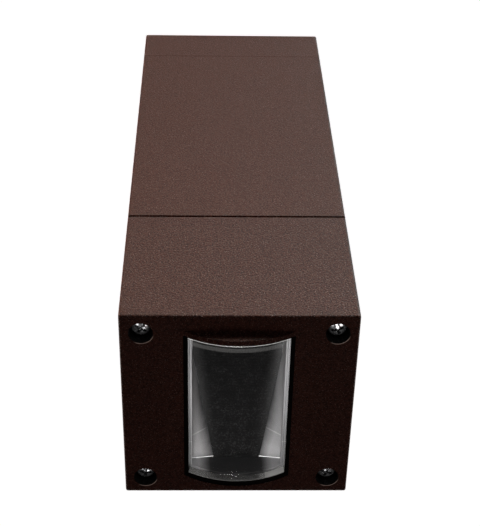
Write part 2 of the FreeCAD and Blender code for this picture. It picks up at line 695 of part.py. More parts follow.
def hopper_outline(sketch, wide, narrow, length, stretch):
    """Six points: straight sides up to the bend, then tapering to the narrow end."""
    half = f"({wide}) / 2"
    end = f"({length}) / 2 / {stretch}"
    bend = f"-@optic_bend / {stretch}"
    points = [(f"-{half}", f"-{end}"), (half, f"-{end}"), (half, bend)]
    points += [(f"({narrow}) / 2", end), (f"-({narrow}) / 2", end), (f"-{half}", bend)]
    outline(sketch, points)


def hopper(name, wide, narrow, length, drop):
    """The reflector's tapering space, from its mouth down to the sloping floor."""
    mouth = doc.addObject("Sketcher::SketchObject", name + "Mouth")
    hopper_outline(mouth, wide, wide, length, "1")
    place(mouth, z=f"{MOUTH_LEVEL} - ({drop})")
    floor = doc.addObject("Sketcher::SketchObject", name + "Floor")
    hopper_outline(floor, wide, narrow, length, f"cos({TILT})")
    tilt(floor, f"-({drop})")
    loft = doc.addObject("Part::Loft", name)
    loft.Sections = [floor, mouth]
    loft.Solid = True
    loft.Ruled = True
    return loft


def reflector():
    outer = hopper("HopperOuter", MOUTH_WIDTH, "(@optic_narrow + 2 * @sheet)", MOUTH_LENGTH, "@sheet")
    inner = hopper("HopperInner", INNER_WIDTH, "@optic_narrow", INNER_LENGTH, "0")
    rim_radius = f"({GLASS_RADIUS} - @glass_thick - @glass_air)"
    tall = "(@mouth_depth + @lip_bulge)"
    rim_block = block("RimBlock", MOUTH_WIDTH, MOUTH_LENGTH, tall, z=f"{MOUTH_LEVEL} - @sheet")
    rim = common("Rim", bulge("RimCurve", rim_radius), rim_block)
    mouth = block("MouthOpening", INNER_WIDTH, INNER_LENGTH, tall, z=MOUTH_LEVEL)
    hole = block("FloorOpening", "@optic_narrow - 2 * @optic_lap", "@board_length + 4", "4")
    window_cut = doc.addObject("Part::Compound", "FloorOpeningTilted")
    window_cut.Links = [hole]
    tilt(window_cut, "-2")
    shell = fuse("ReflectorSolid", [outer, rim])
    keep("reflector", cut("Reflector", shell, [inner, mouth, window_cut]))


def optic_plate():
    """The prismatic plate that lies on the reflector's floor over the emitters."""
    body = new_body("OpticBody")
    tilt(body)
    sketch = sketch_on(body, "OpticOutline")
    half = f"({INNER_WIDTH} / 2 - @fit_gap)"
    narrow = "(@optic_narrow / 2 - @fit_gap)"
    reach = f"({INNER_LENGTH} / 2 / cos({TILT}))"
    low = f"(@fit_gap + 0.2 - {reach} + @optic_thick * tan({TILT}))"
    high = f"({reach} - @fit_gap)"
    bend = f"(-@optic_bend / cos({TILT}))"
    points = [(f"-{half}", low), (half, low), (half, bend)]
    points += [(narrow, high), (f"-{narrow}", high), (f"-{half}", bend)]
    outline(sketch, points)
    pad(body, "OpticPad", sketch, "@optic_thick")
    keep("optic_plate", body)


def sloping_group(name, node, masters):
    """Lays finished pieces, built level about the origin, on the optic's slope as one part."""
    group = doc.addObject("Part::Compound", name)
    group.Links = masters
    tilt(group)
    keep(node, group)


def light_engine():
    board_top = "(-@sheet - @led_air - @led_height)"
    board_under = f"-{BOARD_FLOOR}"
    board = block("BoardBlock", "@board_width", "@board_length", "@board_thick", z=board_under)
    sloping_group("BoardTilted", "led_board", [board])
    pad_block = block("PadBlock", "@board_width", "@board_length", "@pad_thick", z=f"-{POCKET_DEPTH}")
    sloping_group("PadTilted", "thermal_pad", [pad_block])
    emitter = block("Emitter", "@led_side", "@led_side", "@led_height", z=board_top)
    spots = []
    for side in (1, -1):
        for step in range(LED_COUNT):
            along = step - (LED_COUNT - 1) / 2
            spots.append((f"{side} * @led_rows / 2", f"{along} * @led_pitch", "0"))
    sloping_group("EmittersTilted", "led_emitters", [copies("Emitters", emitter, spots)])
    plug_y = "(-@board_length / 2 - 3.2)"
    plug = block("PlugBlock", "14", "6", f"{POCKET_DEPTH} - @sheet - 0.6", y=plug_y, z=f"-{POCKET_DEPTH}")
    sloping_group("PlugTilted", "led_connector", [plug])


def heat_sink():
    """A finned base whose wings reach the head's ribs, with a wedge that carries the board."""
    wings = block("SinkWings", f"2 * ({HEAD_INNER} - @wing_gap)", "@sink_wing", "@sink_base", z=SINK_UNDER)
    long_base = block("SinkBase", "@sink_width", INNER_LENGTH, "@sink_base", z=SINK_UNDER)
    wedge = block("SinkWedge", "@sink_width", INNER_LENGTH, f"{FACE} - {RIB_END}", z=RIB_END)
    above = block("SinkAbove", "@body_width", "@body_width * 2", "@body_width")
    above_tilted = doc.addObject("Part::Compound", "SinkAboveTilted")
    above_tilted.Links = [above]
    tilt(above_tilted, "-@sheet")
    wedge_cut = cut("SinkWedgeCut", wedge, [above_tilted])
    solids = [wings, long_base, wedge_cut]
    for number in range(FIN_COUNT):
        across = number - (FIN_COUNT - 1) / 2
        solids.append(block(f"Fin{number}", "@fin_thick", "@fin_length", "@fin_height + 0.1",
                            x=f"{across} * @fin_pitch", z=FIN_END))
    floor = f"-{POCKET_DEPTH}"
    pocket_block = block("BoardPocket", "@board_width + 1", "@board_length + 14", "20", y="-6.5", z=floor)
    pocket_tilted = doc.addObject("Part::Compound", "BoardPocketTilted")
    pocket_tilted.Links = [pocket_block]
    tilt(pocket_tilted)
    drills = [
        rod(f"SinkHole{n}", "@bolt_radius + @fit_gap", "@sink_base + 2", x, y, z)
        for n, (x, y, z) in enumerate(bolt_spots(f"{SINK_UNDER} - 1"))
    ]
    drills += [
        rod(f"LeadHole{side}", "@lead_radius + 0.6", "30", f"{side} * {LEAD_X}", LEAD_Y, f"{SINK_UNDER} - 1")
        for side in (1, -1)
    ]
    keep("heat_sink", cut("Sink", fuse("SinkSolid", solids), [pocket_tilted] + drills))
    length = "@sink_base + @tray_sheet + 10"
    screw = pan_screw("SinkScrew", "@bolt_radius", length, "@bolt_radius * 1.9", "@bolt_radius * 1.3")
    upside = turned("SinkScrewUp", screw, HALF_TURN)
    keep("sink_screws", copies("SinkScrews", upside, bolt_spots(TRAY_TOP)))


# ---------------------------------------------------------------- gear tray and what it carries

def gear_tray():
    """A hanging plate with two ears bent over under the heat sink's wings."""
    face_y = "(@tray_offset + @tray_sheet / 2)"
    plate_top = f"({FIN_END} - 4)"
    high = f"{plate_top} - {TRAY_BOTTOM}"
    solids = [block("TrayPlate", TRAY_WIDTH, "@tray_sheet", high, y=face_y, z=TRAY_BOTTOM)]
    ear_low = f"({plate_top} - @ear_root)"
    ear_high = f"{TRAY_TOP} - {ear_low}"
    flange_deep = "(@tray_offset + @tray_sheet + @bolt_pitch)"
    flange_y = "((@tray_offset + @tray_sheet - @bolt_pitch) / 2)"
    wide, thick = "@tray_ear", "@tray_sheet"
    for side in (1, -1):
        x = f"{side} * {EAR_X}"
        solids.append(block(f"TrayEar{side}", wide, thick, ear_high, x, face_y, ear_low))
        solids.append(block(f"TrayFlange{side}", wide, flange_deep, thick, x, flange_y, TRAY_TOP))
    drills = [
        rod(f"TrayHole{n}", "@bolt_radius + @fit_gap", "@tray_sheet + 2", x, y, z)
        for n, (x, y, z) in enumerate(bolt_spots(f"{TRAY_TOP} - 1"))
    ]
    back = "@tray_offset - 1"
    small = [(x, z) for x, _, z in driver_screw_spots() + grip_spots(back)] + [("@earth_x", EARTH_Z)]
    for n, (x, z) in enumerate(small):
        drills.append(rod(f"TrayDrill{n}", SMALL_HOLE, "@tray_sheet + 2", x, back, z, TOWARDS_Y))
    keep("gear_tray", cut("Tray", fuse("TraySolid", solids), drills))


def driver_screw_spots():
    x = "(@driver_width / 2 + @ear_width / 2)"
    return [(f"{side} * {x}", "@tray_offset - @ear_thick", f"{DRIVER_BOTTOM} + {end}")
            for side in (1, -1) for end in ("10", "@driver_length - 10")]


def driver():
    """The encapsulated driver: a case with two long ears, and a cover let into its front."""
    body = new_body("DriverBody")
    place(body, z=DRIVER_BOTTOM)
    plan = sketch_on(body, "DriverPlan")
    rectangle(plan, "@driver_width", "@driver_depth", y="@tray_offset - @driver_depth / 2")
    pad(body, "DriverBlock", plan, "@driver_length")

    def upright(edge):
        return edge.BoundBox.XLength < 0.01 and edge.BoundBox.YLength < 0.01

    round_edges(body, "DriverEdges", upright, "2")
    ears = sketch_on(body, "DriverEars")
    rectangle(ears, "@driver_width + 2 * @ear_width", "@ear_thick", y="@tray_offset - @ear_thick / 2")
    pad(body, "DriverEarsPad", ears, "@driver_length")
    recess = sketch_on(body, "DriverRecess", role="XZ_Plane", lift="@driver_depth - @tray_offset")
    rectangle(recess, "@driver_width - 6", "@driver_length - 6", y="@driver_length / 2")
    pocket(body, "DriverRecessCut", recess, "2")
    holes = sketch_on(body, "DriverHoles", role="XZ_Plane")
    for x, _, z in driver_screw_spots():
        circle(holes, SMALL_HOLE, x, f"{z} - {DRIVER_BOTTOM}")
    pocket(body, "DriverHolesCut", holes)
    keep("driver_case", body)

    front = "(@tray_offset - @driver_depth)"
    cover = block("DriverCover", "@driver_width - 6 - @fit_gap", "2", "@driver_length - 6 - @fit_gap",
                  y=f"{front} + 1", z=f"{DRIVER_BOTTOM} + 3 + @fit_gap / 2")
    keep("driver_cover", cover)
    screw = small_screw("DriverScrew", "@ear_thick + @tray_sheet + @small_reach")
    outward = turned("DriverScrewOut", screw, TOWARDS_MINUS_Y)
    keep("driver_screws", copies("DriverScrews", outward, driver_screw_spots()))


def pole_x(pole):
    return f"{pole - (TERMINALS - 1) / 2} * @terminal_pitch"


TERMINAL_Y = "(@tray_offset - @terminal_depth / 2)"


def terminal_block():
    wide = f"{TERMINALS} * @terminal_pitch"
    deep, high = "@terminal_depth", "@terminal_height"
    case = block("TerminalCase", wide, deep, high, y=TERMINAL_Y, z=TERMINAL_BOTTOM)
    tools = []
    screws = []
    front = "(@tray_offset - @terminal_depth)"
    for pole in range(TERMINALS):
        x = pole_x(pole)
        tools.append(rod(f"PoleWire{pole}", "@lead_radius + 0.6", "@terminal_height + 2", x, TERMINAL_Y,
                         f"{TERMINAL_BOTTOM} - 1"))
        for end in (0.27, 0.73):
            level = f"{TERMINAL_BOTTOM} + @terminal_height * {end}"
            tag = f"{pole}_{int(end * 100)}"
            tools.append(rod(f"PoleWell{tag}", "2.2", "4.5", x, f"{front} - 0.5", level, TOWARDS_Y))
            screws.append((x, f"{front} + 2", level))
    keep("terminal_block", cut("Terminal", case, tools))
    head = rod("PoleScrewHead", "1.9", "1.9", turn=TOWARDS_Y)
    slot = block("PoleScrewSlot", "4.4", "0.8", "0.7", y="0.4", z="-0.35")
    keep("terminal_screws", copies("PoleScrews", cut("PoleScrew", head, [slot]), screws))


def grip_spots(y):
    x = "(@grip_width / 2 - 5.5)"
    return [(f"{side} * {x}", y, f"{GRIP_LEVEL} + @grip_height / 2") for side in (1, -1)]


def cord_grip():
    """A saddle at the tray's foot that clamps a supply cord in its half-round channel."""
    side, middle = "@grip_height", "@tray_offset - @grip_height / 2"
    saddle = block("SaddleBlock", "@grip_width", side, side, y=middle, z=GRIP_LEVEL)
    tools = [rod("SaddleChannel", "@grip_channel", f"{side} + 2", y="@tray_offset", z=f"{GRIP_LEVEL} - 1")]
    for n, (x, y, level) in enumerate(grip_spots("@tray_offset - @grip_height - 1")):
        tools.append(rod(f"SaddleHole{n}", SMALL_HOLE, f"{side} + 2", x, y, level, TOWARDS_Y))
    keep("cord_grip", cut("Saddle", saddle, tools))
    screw = small_screw("GripScrew", "@grip_height + @tray_sheet + @small_reach")
    outward = turned("GripScrewOut", screw, TOWARDS_MINUS_Y)
    keep("grip_screws", copies("GripScrews", outward, grip_spots("@tray_offset - @grip_height")))


def earth_point():
    """A ring lug held to the tray by one screw."""
    ring = rod("LugRing", "4", "@lug_thick", "@earth_x", "@tray_offset", EARTH_Z, TOWARDS_MINUS_Y)
    barrel_y = "@tray_offset - @lug_thick / 2"
    barrel = block("LugBarrel", "8", "@lug_thick", "3", "@earth_x - 6", barrel_y, f"{EARTH_Z} - 1.5")
    hole = rod("LugHole", SMALL_HOLE, "4", "@earth_x", "@tray_offset + 1", EARTH_Z, TOWARDS_MINUS_Y)
    keep("earth_lug", cut("LugDrilled", fuse("Lug", [ring, barrel]), [hole]))
    screw = small_screw("LugScrew", "@lug_thick + @tray_sheet + @small_reach")
    outward = turned("LugScrewOut", screw, TOWARDS_MINUS_Y)
    keep("earth_screw", copies("LugScrews", outward, [("@earth_x", "@tray_offset - @lug_thick", EARTH_Z)]))


def number_of(formula):
    """The present value of a formula of the sheet's cells."""
    value = sheet.evalExpression(ex(formula))
    return float(getattr(value, "Value", value))


def lead(points, bend):
    """A round lead along straight runs joined by tangent arcs."""
    route = [Vector(*[number_of(value) for value in point]) for point in points]
    edges = []
    start = route[0]
    for before, corner, after in zip(route, route[1:], route[2:]):
        back = (before - corner).normalize()
        onward = (after - corner).normalize()
        turn = back.getAngle(onward)
        reach = bend / abs(math.tan(turn / 2))
        middle_way = (back + onward).normalize()
        centre_far = (reach ** 2 + bend ** 2) ** 0.5
        middle = corner + middle_way * (centre_far - bend)
        edges.append(Part.LineSegment(start, corner + back * reach).toShape())
        edges.append(Part.Arc(corner + back * reach, middle, corner + onward * reach).toShape())
        start = corner + onward * reach
    edges.append(Part.LineSegment(start, route[-1]).toShape())
    path = Part.Wire(edges)
    radius = size("lead_radius")
    ring = Part.Wire(Part.makeCircle(radius, route[0], route[1] - route[0]))
    return path.makePipeShell([ring], True, False)


def leads(node, shapes):
    thing = doc.addObject("Part::Feature", node + "_solid")
    thing.Shape = Part.makeCompound(shapes)
    keep(node, thing)


def wiring():
    lead_under = f"{OPTIC_LEVEL} - {POCKET_DEPTH} / cos({TILT}) + {LEAD_Y} * tan({TILT}) - 0.6"
    middle_y = "(@tray_offset - @driver_depth / 2)"
    turn_z = f"({DRIVER_TOP} + 7)"
    shapes = []
    for side in (1, -1):
        x = f"{side} * {LEAD_X}"
        rise = [(x, middle_y, DRIVER_TOP), (x, middle_y, turn_z)]
        shapes.append(lead(rise + [(x, LEAD_Y, turn_z), (x, LEAD_Y, lead_under)], 5.0))
    leads("led_leads", shapes)
    supply = []
    for pole in range(TERMINALS):
        x = pole_x(pole)
        low = f"{TERMINAL_BOTTOM} + @terminal_height - 3"
        supply.append(lead([(x, TERMINAL_Y, low), (x, TERMINAL_Y, DRIVER_BOTTOM)], 5.0))
    leads("supply_leads", supply)
    last = pole_x(TERMINALS - 1)
    down = f"{TERMINAL_BOTTOM} - 6"
    end = ("@earth_x - 10", "@tray_offset - @lead_radius - 0.1", EARTH_Z)
    earth = lead([(last, TERMINAL_Y, f"{TERMINAL_BOTTOM} + 3"), (last, TERMINAL_Y, down), end], 2.5)
    leads("earth_lead", [earth])


# ---------------------------------------------------------------- build and write

def check_and_write():
    """Stops on any failed feature or bad shape, then writes one STEP file for each sub-part."""
    doc.recompute()
    for thing in doc.Objects:
        if "Invalid" in thing.State or "Error" in thing.State:
            raise RuntimeError(f"{thing.Name} failed: {thing.State}")
    for node, thing in parts.items():
        if thing.Shape.isNull() or not thing.Shape.isValid():
            raise RuntimeError(node + " has no valid shape")
    os.makedirs("parts", exist_ok=True)
    for node, thing in parts.items():
        thing.Shape.exportStep(f"parts/{node}.step")
        print(f"{node}: {len(thing.Shape.Solids)} solids, {thing.Shape.Volume:.0f} mm3")


foot()
entry_grommet()
earth_stud()
column()
column_set_screws()
head_housing()
joint_gasket()
head_screws()
window()
reflector()
optic_plate()
light_engine()
heat_sink()
gear_tray()
driver()
terminal_block()
cord_grip()
earth_point()
wiring()
check_and_write()
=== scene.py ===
"""Looks of the square bollard light: its finishes, fine shapes and studio, made round the fixed CAD frame.

Everything is in metres in the model's own frame: +Z up the post, origin under the middle of the foot.
"""
import math

import bmesh
import bpy
from bpy.props import FloatProperty, FloatVectorProperty, IntProperty, PointerProperty
from bpy.types import Operator, Panel, PropertyGroup
from mathutils import Matrix, Vector


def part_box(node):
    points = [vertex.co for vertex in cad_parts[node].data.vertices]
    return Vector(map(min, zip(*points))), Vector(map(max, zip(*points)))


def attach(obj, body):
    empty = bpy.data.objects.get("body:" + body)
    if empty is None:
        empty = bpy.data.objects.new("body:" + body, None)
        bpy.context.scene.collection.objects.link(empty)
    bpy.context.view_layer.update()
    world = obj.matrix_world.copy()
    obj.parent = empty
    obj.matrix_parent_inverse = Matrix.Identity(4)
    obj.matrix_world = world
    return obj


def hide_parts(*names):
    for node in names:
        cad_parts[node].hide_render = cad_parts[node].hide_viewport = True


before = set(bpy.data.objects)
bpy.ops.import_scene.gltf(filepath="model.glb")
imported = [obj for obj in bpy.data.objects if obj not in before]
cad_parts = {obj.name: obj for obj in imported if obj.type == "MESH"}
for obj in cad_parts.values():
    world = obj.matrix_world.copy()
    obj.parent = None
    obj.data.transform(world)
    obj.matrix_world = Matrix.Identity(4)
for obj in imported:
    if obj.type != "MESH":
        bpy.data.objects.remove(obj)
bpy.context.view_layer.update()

bl_info = {
    "name": "Bollard light looks",
    "version": (1, 0, 0),
    "blender": (4, 5, 0),
    "location": "3D View > Sidebar > Bollard",
    "description": "Finishes and fine shapes of a square bollard light",
    "category": "Object",
}

MM = 0.001
GLASS_GAP = 0.06 * MM  # between the glass and its seal
SEAL_LAP = 0.3 * MM  # of the seal over the glass's long sides
SEAL_LAP_FAR = 1.0 * MM  # of the seal over the glass's +Y end
THIN_SEAL = 0.6 * MM  # of seal beyond the glass's -Y end
RIM_EDGE = (5.95 * MM, 6.1 * MM)  # radii over which the painted highlight on a screw hole's rim ends
COUNTERBORE_EDGE = (5.66 * MM, 5.72 * MM)  # radii over which the painted shade inside the hole ends
RIM_ABOVE_FRAME = 8.0 * MM  # height of the holes' rims over the glass frame's underside
REFLECTOR_END = 40 * MM  # inner face of the reflector's +Y wall
REFLECTOR_MOUTH = 292 * MM  # height under which the reflector's walls are plain
FOLD_HIGHLIGHT = 15 * MM  # from the optic's +Y end to the painted highlight line across the reflector
FOLD_BEAD = 0.25 * MM  # radius of the reflector's rounded fold
SCREW_SPIN = math.pi / 2  # most that a cross-recessed screw is turned from its neighbours
HEAD_ROWS = 12  # rows of faces over a screw head's dome
SMALL_SCREWS = (  # node, head radius in shank radii, way that the head faces
    ("frame_screws", 1.87, "down"),
    ("sink_screws", 1.9, "down"),
    ("driver_screws", 1.87, "front"),
    ("grip_screws", 1.87, "front"),
    ("earth_screw", 1.87, "front"),
)
HEAD_TOP = (0, 0, 0.3)  # where the lights over the head point
SCREW_LIGHTS = (  # place, width and watts of each light on the long screws
    ((-0.6, 0.02, 1.38), 0.22, 18),
    ((0.52, 0.13, 1.37), 0.15, 7),
    ((-0.15, 0.85, 1.5), 0.18, 11),
)
IN_WINDOW = ("folded_reflector", "prismatic_plate", "optic_prisms", "reflector_fold", "window_frame",
             "bent_glass")
LEADS = (("led_leads", "lead_red", "red_lead"), ("supply_leads", "lead_blue", "blue_lead"),
         ("earth_lead", "lead_green", "green_lead"))


# ---------------------------------------------------------------- settings

class FinishSettings(PropertyGroup):
    """Colours and grains that a user would change."""

    coat_colour: FloatVectorProperty(
        name="Coat colour", description="Base colour of the bronze powder coat",
        subtype="COLOR", size=3, min=0, max=1, default=(0.078, 0.029, 0.021))
    coat_fleck: FloatVectorProperty(
        name="Coat fleck", description="Colour of the fine bright flecks in the coat",
        subtype="COLOR", size=3, min=0, max=1, default=(0.30, 0.22, 0.20))
    grain_size: FloatProperty(
        name="Coat grain", description="Size of the powder coat's grains",
        unit="LENGTH", min=0.0001, default=0.0009)
    grain_depth: FloatProperty(
        name="Grain depth", description="Height of the powder coat's grains",
        unit="LENGTH", min=0, default=0.00025)
    sheet_colour: FloatVectorProperty(
        name="Reflector colour", description="Colour of the reflector's satin sheet",
        subtype="COLOR", size=3, min=0, max=1, default=(0.62, 0.62, 0.63))
    optic_colour: FloatVectorProperty(
        name="Optic colour", description="Colour of the smoked prismatic plate",
        subtype="COLOR", size=3, min=0, max=1, default=(0.003, 0.003, 0.003))
    screw_colour: FloatVectorProperty(
        name="Screw colour", description="Colour of the blackened long screws",
        subtype="COLOR", size=3, min=0, max=1, default=(0.075, 0.075, 0.077))


class ShapeSettings(PropertyGroup):
    """Fine sizes that the frame doesn't hold."""

    casting_edge: FloatProperty(
        name="Casting edge", description="Softness of the coated castings' edges",
        unit="LENGTH", min=0, default=0.35 * MM)
    small_edge: FloatProperty(
        name="Small edge", description="Softness of the small parts' edges",
        unit="LENGTH", min=0, default=0.15 * MM)
    shank_radius: FloatProperty(
        name="Long screw shank", description="Radius of the long screws' shanks",
        unit="LENGTH", min=0, default=2.5 * MM)
    thread_pitch: FloatProperty(
        name="Thread pitch", description="Pitch of the long screws' threads",
        unit="LENGTH", min=0.0001, default=0.8 * MM)
    thread_length: FloatProperty(
        name="Thread length", description="Threaded length of the long screws",
        unit="LENGTH", min=0, default=30 * MM)
    prism_pitch: FloatProperty(
        name="Prism pitch", description="Pitch of the prisms on the optic plate",
        unit="LENGTH", min=0.0005, default=1.5 * MM)
    arc_steps: IntProperty(
        name="Arc steps", description="Number of steps across the window's curved parts",
        min=8, default=48)


class StageSettings(PropertyGroup):
    """Camera and light of the studio."""

    camera_place: FloatVectorProperty(
        name="Camera place", description="Where the camera stands",
        subtype="TRANSLATION", unit="LENGTH", size=3, default=(0.0146, -0.3972, 0.7511))
    camera_aim: FloatVectorProperty(
        name="Camera aim", description="Direction in which the camera looks",
        subtype="DIRECTION", size=3, default=(-0.02564, 0.56990, -0.82126))
    camera_up: FloatVectorProperty(
        name="Camera up", description="Direction of the top of the picture",
        subtype="DIRECTION", size=3, default=(0.0042, -0.8211, -0.5707))
    lens: FloatProperty(
        name="Lens", description="Focal length for a 36 mm sensor, in millimetres", min=10, default=85.98)
    key_power: FloatProperty(
        name="Key power", description="Power of the two lights in front", subtype="POWER", default=6.7)
    fill_power: FloatProperty(
        name="Fill power", description="Power of the lights beside and behind", subtype="POWER", default=14)
    optic_power: FloatProperty(
        name="Optic power", description="Power of the light into the window", subtype="POWER", default=6.3)
    glint_power: FloatProperty(
        name="Glint power", description="Power of each small light overhead", subtype="POWER", default=0.8)
    ambient: FloatProperty(
        name="Ambient", description="Strength of the even light all round", min=0, default=0.02)


class BollardSettings(PropertyGroup):
    """All the settings of the bollard light."""

    finish: PointerProperty(type=FinishSettings)
    shape: PointerProperty(type=ShapeSettings)
    stage: PointerProperty(type=StageSettings)


def settings():
    return bpy.context.scene.bollard


# ---------------------------------------------------------------- node helpers

def blank_material(name):
    """A new node material: (material, tree, its shader)."""
    made = bpy.data.materials.new(name)
    made.use_nodes = True
    tree = made.node_tree
    return made, tree, tree.nodes["Principled BSDF"]


def feed(made, **inputs):
    """Sets or links a node's inputs. A name has _ for each space, or is i and the input's number."""
    for name, value in inputs.items():
        by_number = name[0] == "i" and name[1:].isdigit()
        socket = made.inputs[int(name[1:]) if by_number else name.replace("_", " ")]
        if isinstance(value, bpy.types.NodeSocket):
            made.id_data.links.new(value, socket)
        else:
            socket.default_value = value
    return made


def node(tree, kind, **inputs):
    """A node with some inputs set or linked. A name that starts with set_ sets a property of the node."""
    made = tree.nodes.new(kind)
    for name in [name for name in inputs if name.startswith("set_")]:
        setattr(made, name[4:], inputs.pop(name))
    return feed(made, **inputs)


def maths(tree, operation, first, second=0.0, third=0.0, clamp=False):
    made = node(tree, "ShaderNodeMath", set_operation=operation, set_use_clamp=clamp,
                i0=first, i1=second, i2=third)
    return made.outputs[0]


def plus(tree, first, second, clamp=False):
    return maths(tree, "ADD", first, second, clamp=clamp)


def minus(tree, first, second):
    return maths(tree, "SUBTRACT", first, second)


def times(tree, first, *others):
    for other in others:
        first = maths(tree, "MULTIPLY", first, other)
    return first


def larger(tree, first, second):
    return maths(tree, "MAXIMUM", first, second)


def unsigned(tree, value):
    return maths(tree, "ABSOLUTE", value)


def diagonal(tree, across, up):
    """The distance that two distances at right angles make."""
    return maths(tree, "SQRT", plus(tree, times(tree, across, across), times(tree, up, up)))


def place_on_object(tree):
    """The object's own coordinates, in metres."""
    return node(tree, "ShaderNodeTexCoord").outputs["Object"]


def axes(tree):
    """The object's own X, Y and Z, in metres, as three sockets."""
    return tuple(node(tree, "ShaderNodeSeparateXYZ", Vector=place_on_object(tree)).outputs)


def noise(tree, size, detail=3.0, rough=0.55, stretch=(1, 1, 1)):
    """Noise whose grains are about the given size, drawn out by stretch."""
    drawn_out = node(tree, "ShaderNodeMapping", Vector=place_on_object(tree), Scale=stretch).outputs[0]
    made = node(tree, "ShaderNodeTexNoise", Vector=drawn_out, Scale=1 / size, Detail=detail, Roughness=rough)
    return made.outputs["Fac"]


def cells(tree, size, feature="F1", output="Distance"):
    """Voronoi cells of about the given size."""
    made = node(tree, "ShaderNodeTexVoronoi", set_feature=feature, Vector=place_on_object(tree),
                Scale=1 / size)
    return made.outputs[output]


def ramp(tree, value, low, high, to_low=0.0, to_high=1.0, kind="LINEAR"):
    """Maps low..high onto to_low..to_high, and stays level outside."""
    made = node(tree, "ShaderNodeMapRange", set_interpolation_type=kind, Value=value,
                From_Min=low, From_Max=high, To_Min=to_low, To_Max=to_high)
    return made.outputs[0]


def spread(tree, factor, low, high):
    """Maps 0..1 onto low..high."""
    return ramp(tree, factor, 0.0, 1.0, low, high)


def step_up(tree, value, low, high):
    """0 below low and 1 above high, with a smooth step between."""
    return ramp(tree, value, low, high, kind="SMOOTHSTEP")


def step_down(tree, value, low, high):
    """1 below low and 0 above high, with a smooth step between."""
    return minus(tree, 1.0, step_up(tree, value, low, high))


def blend_colours(tree, factor, first, second, mode="MIX"):
    """The first colour turned into the second by the factor. Each is a socket or three numbers."""
    first, second = (part if isinstance(part, bpy.types.NodeSocket) else (*part[:3], 1)
                     for part in (first, second))
    made = node(tree, "ShaderNodeMix", set_data_type="RGBA", set_blend_type=mode,
                i0=factor, i6=first, i7=second)
    return made.outputs[2]


def tones(tree, factor, colour, dark, light):
    """The colour from dark times to light times its strength."""
    return blend_colours(tree, factor, scaled(colour, dark), scaled(colour, light))


def bump(tree, height, depth, under=None):
    """A normal raised by depth metres times the height, over the one under it."""
    made = node(tree, "ShaderNodeBump", Height=height, Strength=1.0, Distance=depth)
    if under:
        feed(made, Normal=under)
    return made.outputs[0]


def scaled(colour, by):
    return tuple(min(1.0, part * by) for part in colour)


def grey(level):
    return (level, level, level)


# ---------------------------------------------------------------- finishes

def painted_screw_holes(tree):
    """Two masks: a painted highlight on the +Y part of each counterbore's rim, and painted shade over each
    counterbore's inside.
    """
    low, high = solids_of("sealing_washers")[-1]
    x, y, z = axes(tree)
    off_x = minus(tree, unsigned(tree, x), (low.x + high.x) / 2)
    off_y = minus(tree, unsigned(tree, y), (low.y + high.y) / 2)
    radius = diagonal(tree, off_x, off_y)
    inward = times(tree, off_x, maths(tree, "SIGN", x))
    lit_side = maths(tree, "MULTIPLY_ADD", inward, -0.4, times(tree, off_y, maths(tree, "SIGN", y)))
    # The painted highlight: a thin ring at each hole's rim, on its side towards +Y.
    rim_highlight = times(tree, step_down(tree, radius, *RIM_EDGE), step_up(tree, lit_side, 3.0 * MM, 5.6 * MM))
    rim_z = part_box("glass_frame")[0].z + RIM_ABOVE_FRAME
    worn = times(tree, rim_highlight, step_up(tree, z, rim_z, rim_z + 0.2 * MM))
    return worn, step_down(tree, radius, *COUNTERBORE_EDGE)


def powder_coat(name, strength):
    """Fine-textured bronze powder coat with sparse bright flecks, a painted highlight on the +Y part of each
    screw hole's rim and painted shade inside each hole.
    """
    finish = settings().finish
    made, tree, shader = blank_material(name)
    grain = noise(tree, finish.grain_size, detail=2.0)
    fine = noise(tree, finish.grain_size * 0.45, detail=1.0)
    cloud = noise(tree, 0.035, detail=4.0)
    fleck = step_up(tree, noise(tree, finish.grain_size * 0.55, detail=0.0), 0.66, 0.78)
    base = tones(tree, spread(tree, cloud, 0.15, 0.85), finish.coat_colour, 0.92, 1.08)
    hollow = scaled(finish.coat_colour, 1 - 0.4 * strength)
    dark = blend_colours(tree, step_up(tree, grain, 0.35, 0.62), hollow, base)
    flecked = blend_colours(tree, times(tree, fleck, 0.5 * strength), dark, finish.coat_fleck)
    # Painted highlight on the screw holes' rims, patchy and a little metallic.
    rim_highlight, hole = painted_screw_holes(tree)
    worn = maths(tree, "MULTIPLY", rim_highlight, spread(tree, noise(tree, 0.003), 0.4, 1.6), clamp=True)
    with_rim_highlight = blend_colours(tree, worn, flecked, (1.0, 0.92, 0.86))
    coarse = bump(tree, grain, finish.grain_depth * strength)
    # Painted shade: each screw hole's inside near black.
    feed(shader, Base_Color=blend_colours(tree, hole, with_rim_highlight, (0.004, 0.003, 0.003)),
         Metallic=times(tree, worn, 0.15), Roughness=spread(tree, fine, 0.40, 0.64), Specular_IOR_Level=0.22,
         Normal=bump(tree, fine, finish.grain_depth * 0.4 * strength, under=coarse))
    return made


def moulded(name, colour, rough=0.5, grain=0.0006):
    """Moulded plastic with a spark-eroded grain and slight colour drift."""
    made, tree, shader = blank_material(name)
    fine = noise(tree, grain, detail=2.0)
    feed(shader, Base_Color=tones(tree, noise(tree, 0.012), colour, 0.9, 1.08),
         Roughness=spread(tree, fine, rough - 0.08, rough + 0.08), Normal=bump(tree, fine, 0.03 * MM))
    return made


def soft_rubber(name, colour=(0.002, 0.002, 0.002), shine=0.12):
    """Matt sealing rubber with a faint dusty bloom."""
    made, tree, shader = blank_material(name)
    bloom = noise(tree, 0.004, detail=5.0)
    feed(shader, Base_Color=tones(tree, step_up(tree, bloom, 0.5, 0.8), colour, 1.0, 2.4),
         Roughness=spread(tree, bloom, 0.45, 0.75), Specular_IOR_Level=shine,
         Normal=bump(tree, noise(tree, 0.0007, detail=2.0), 0.04 * MM))
    return made


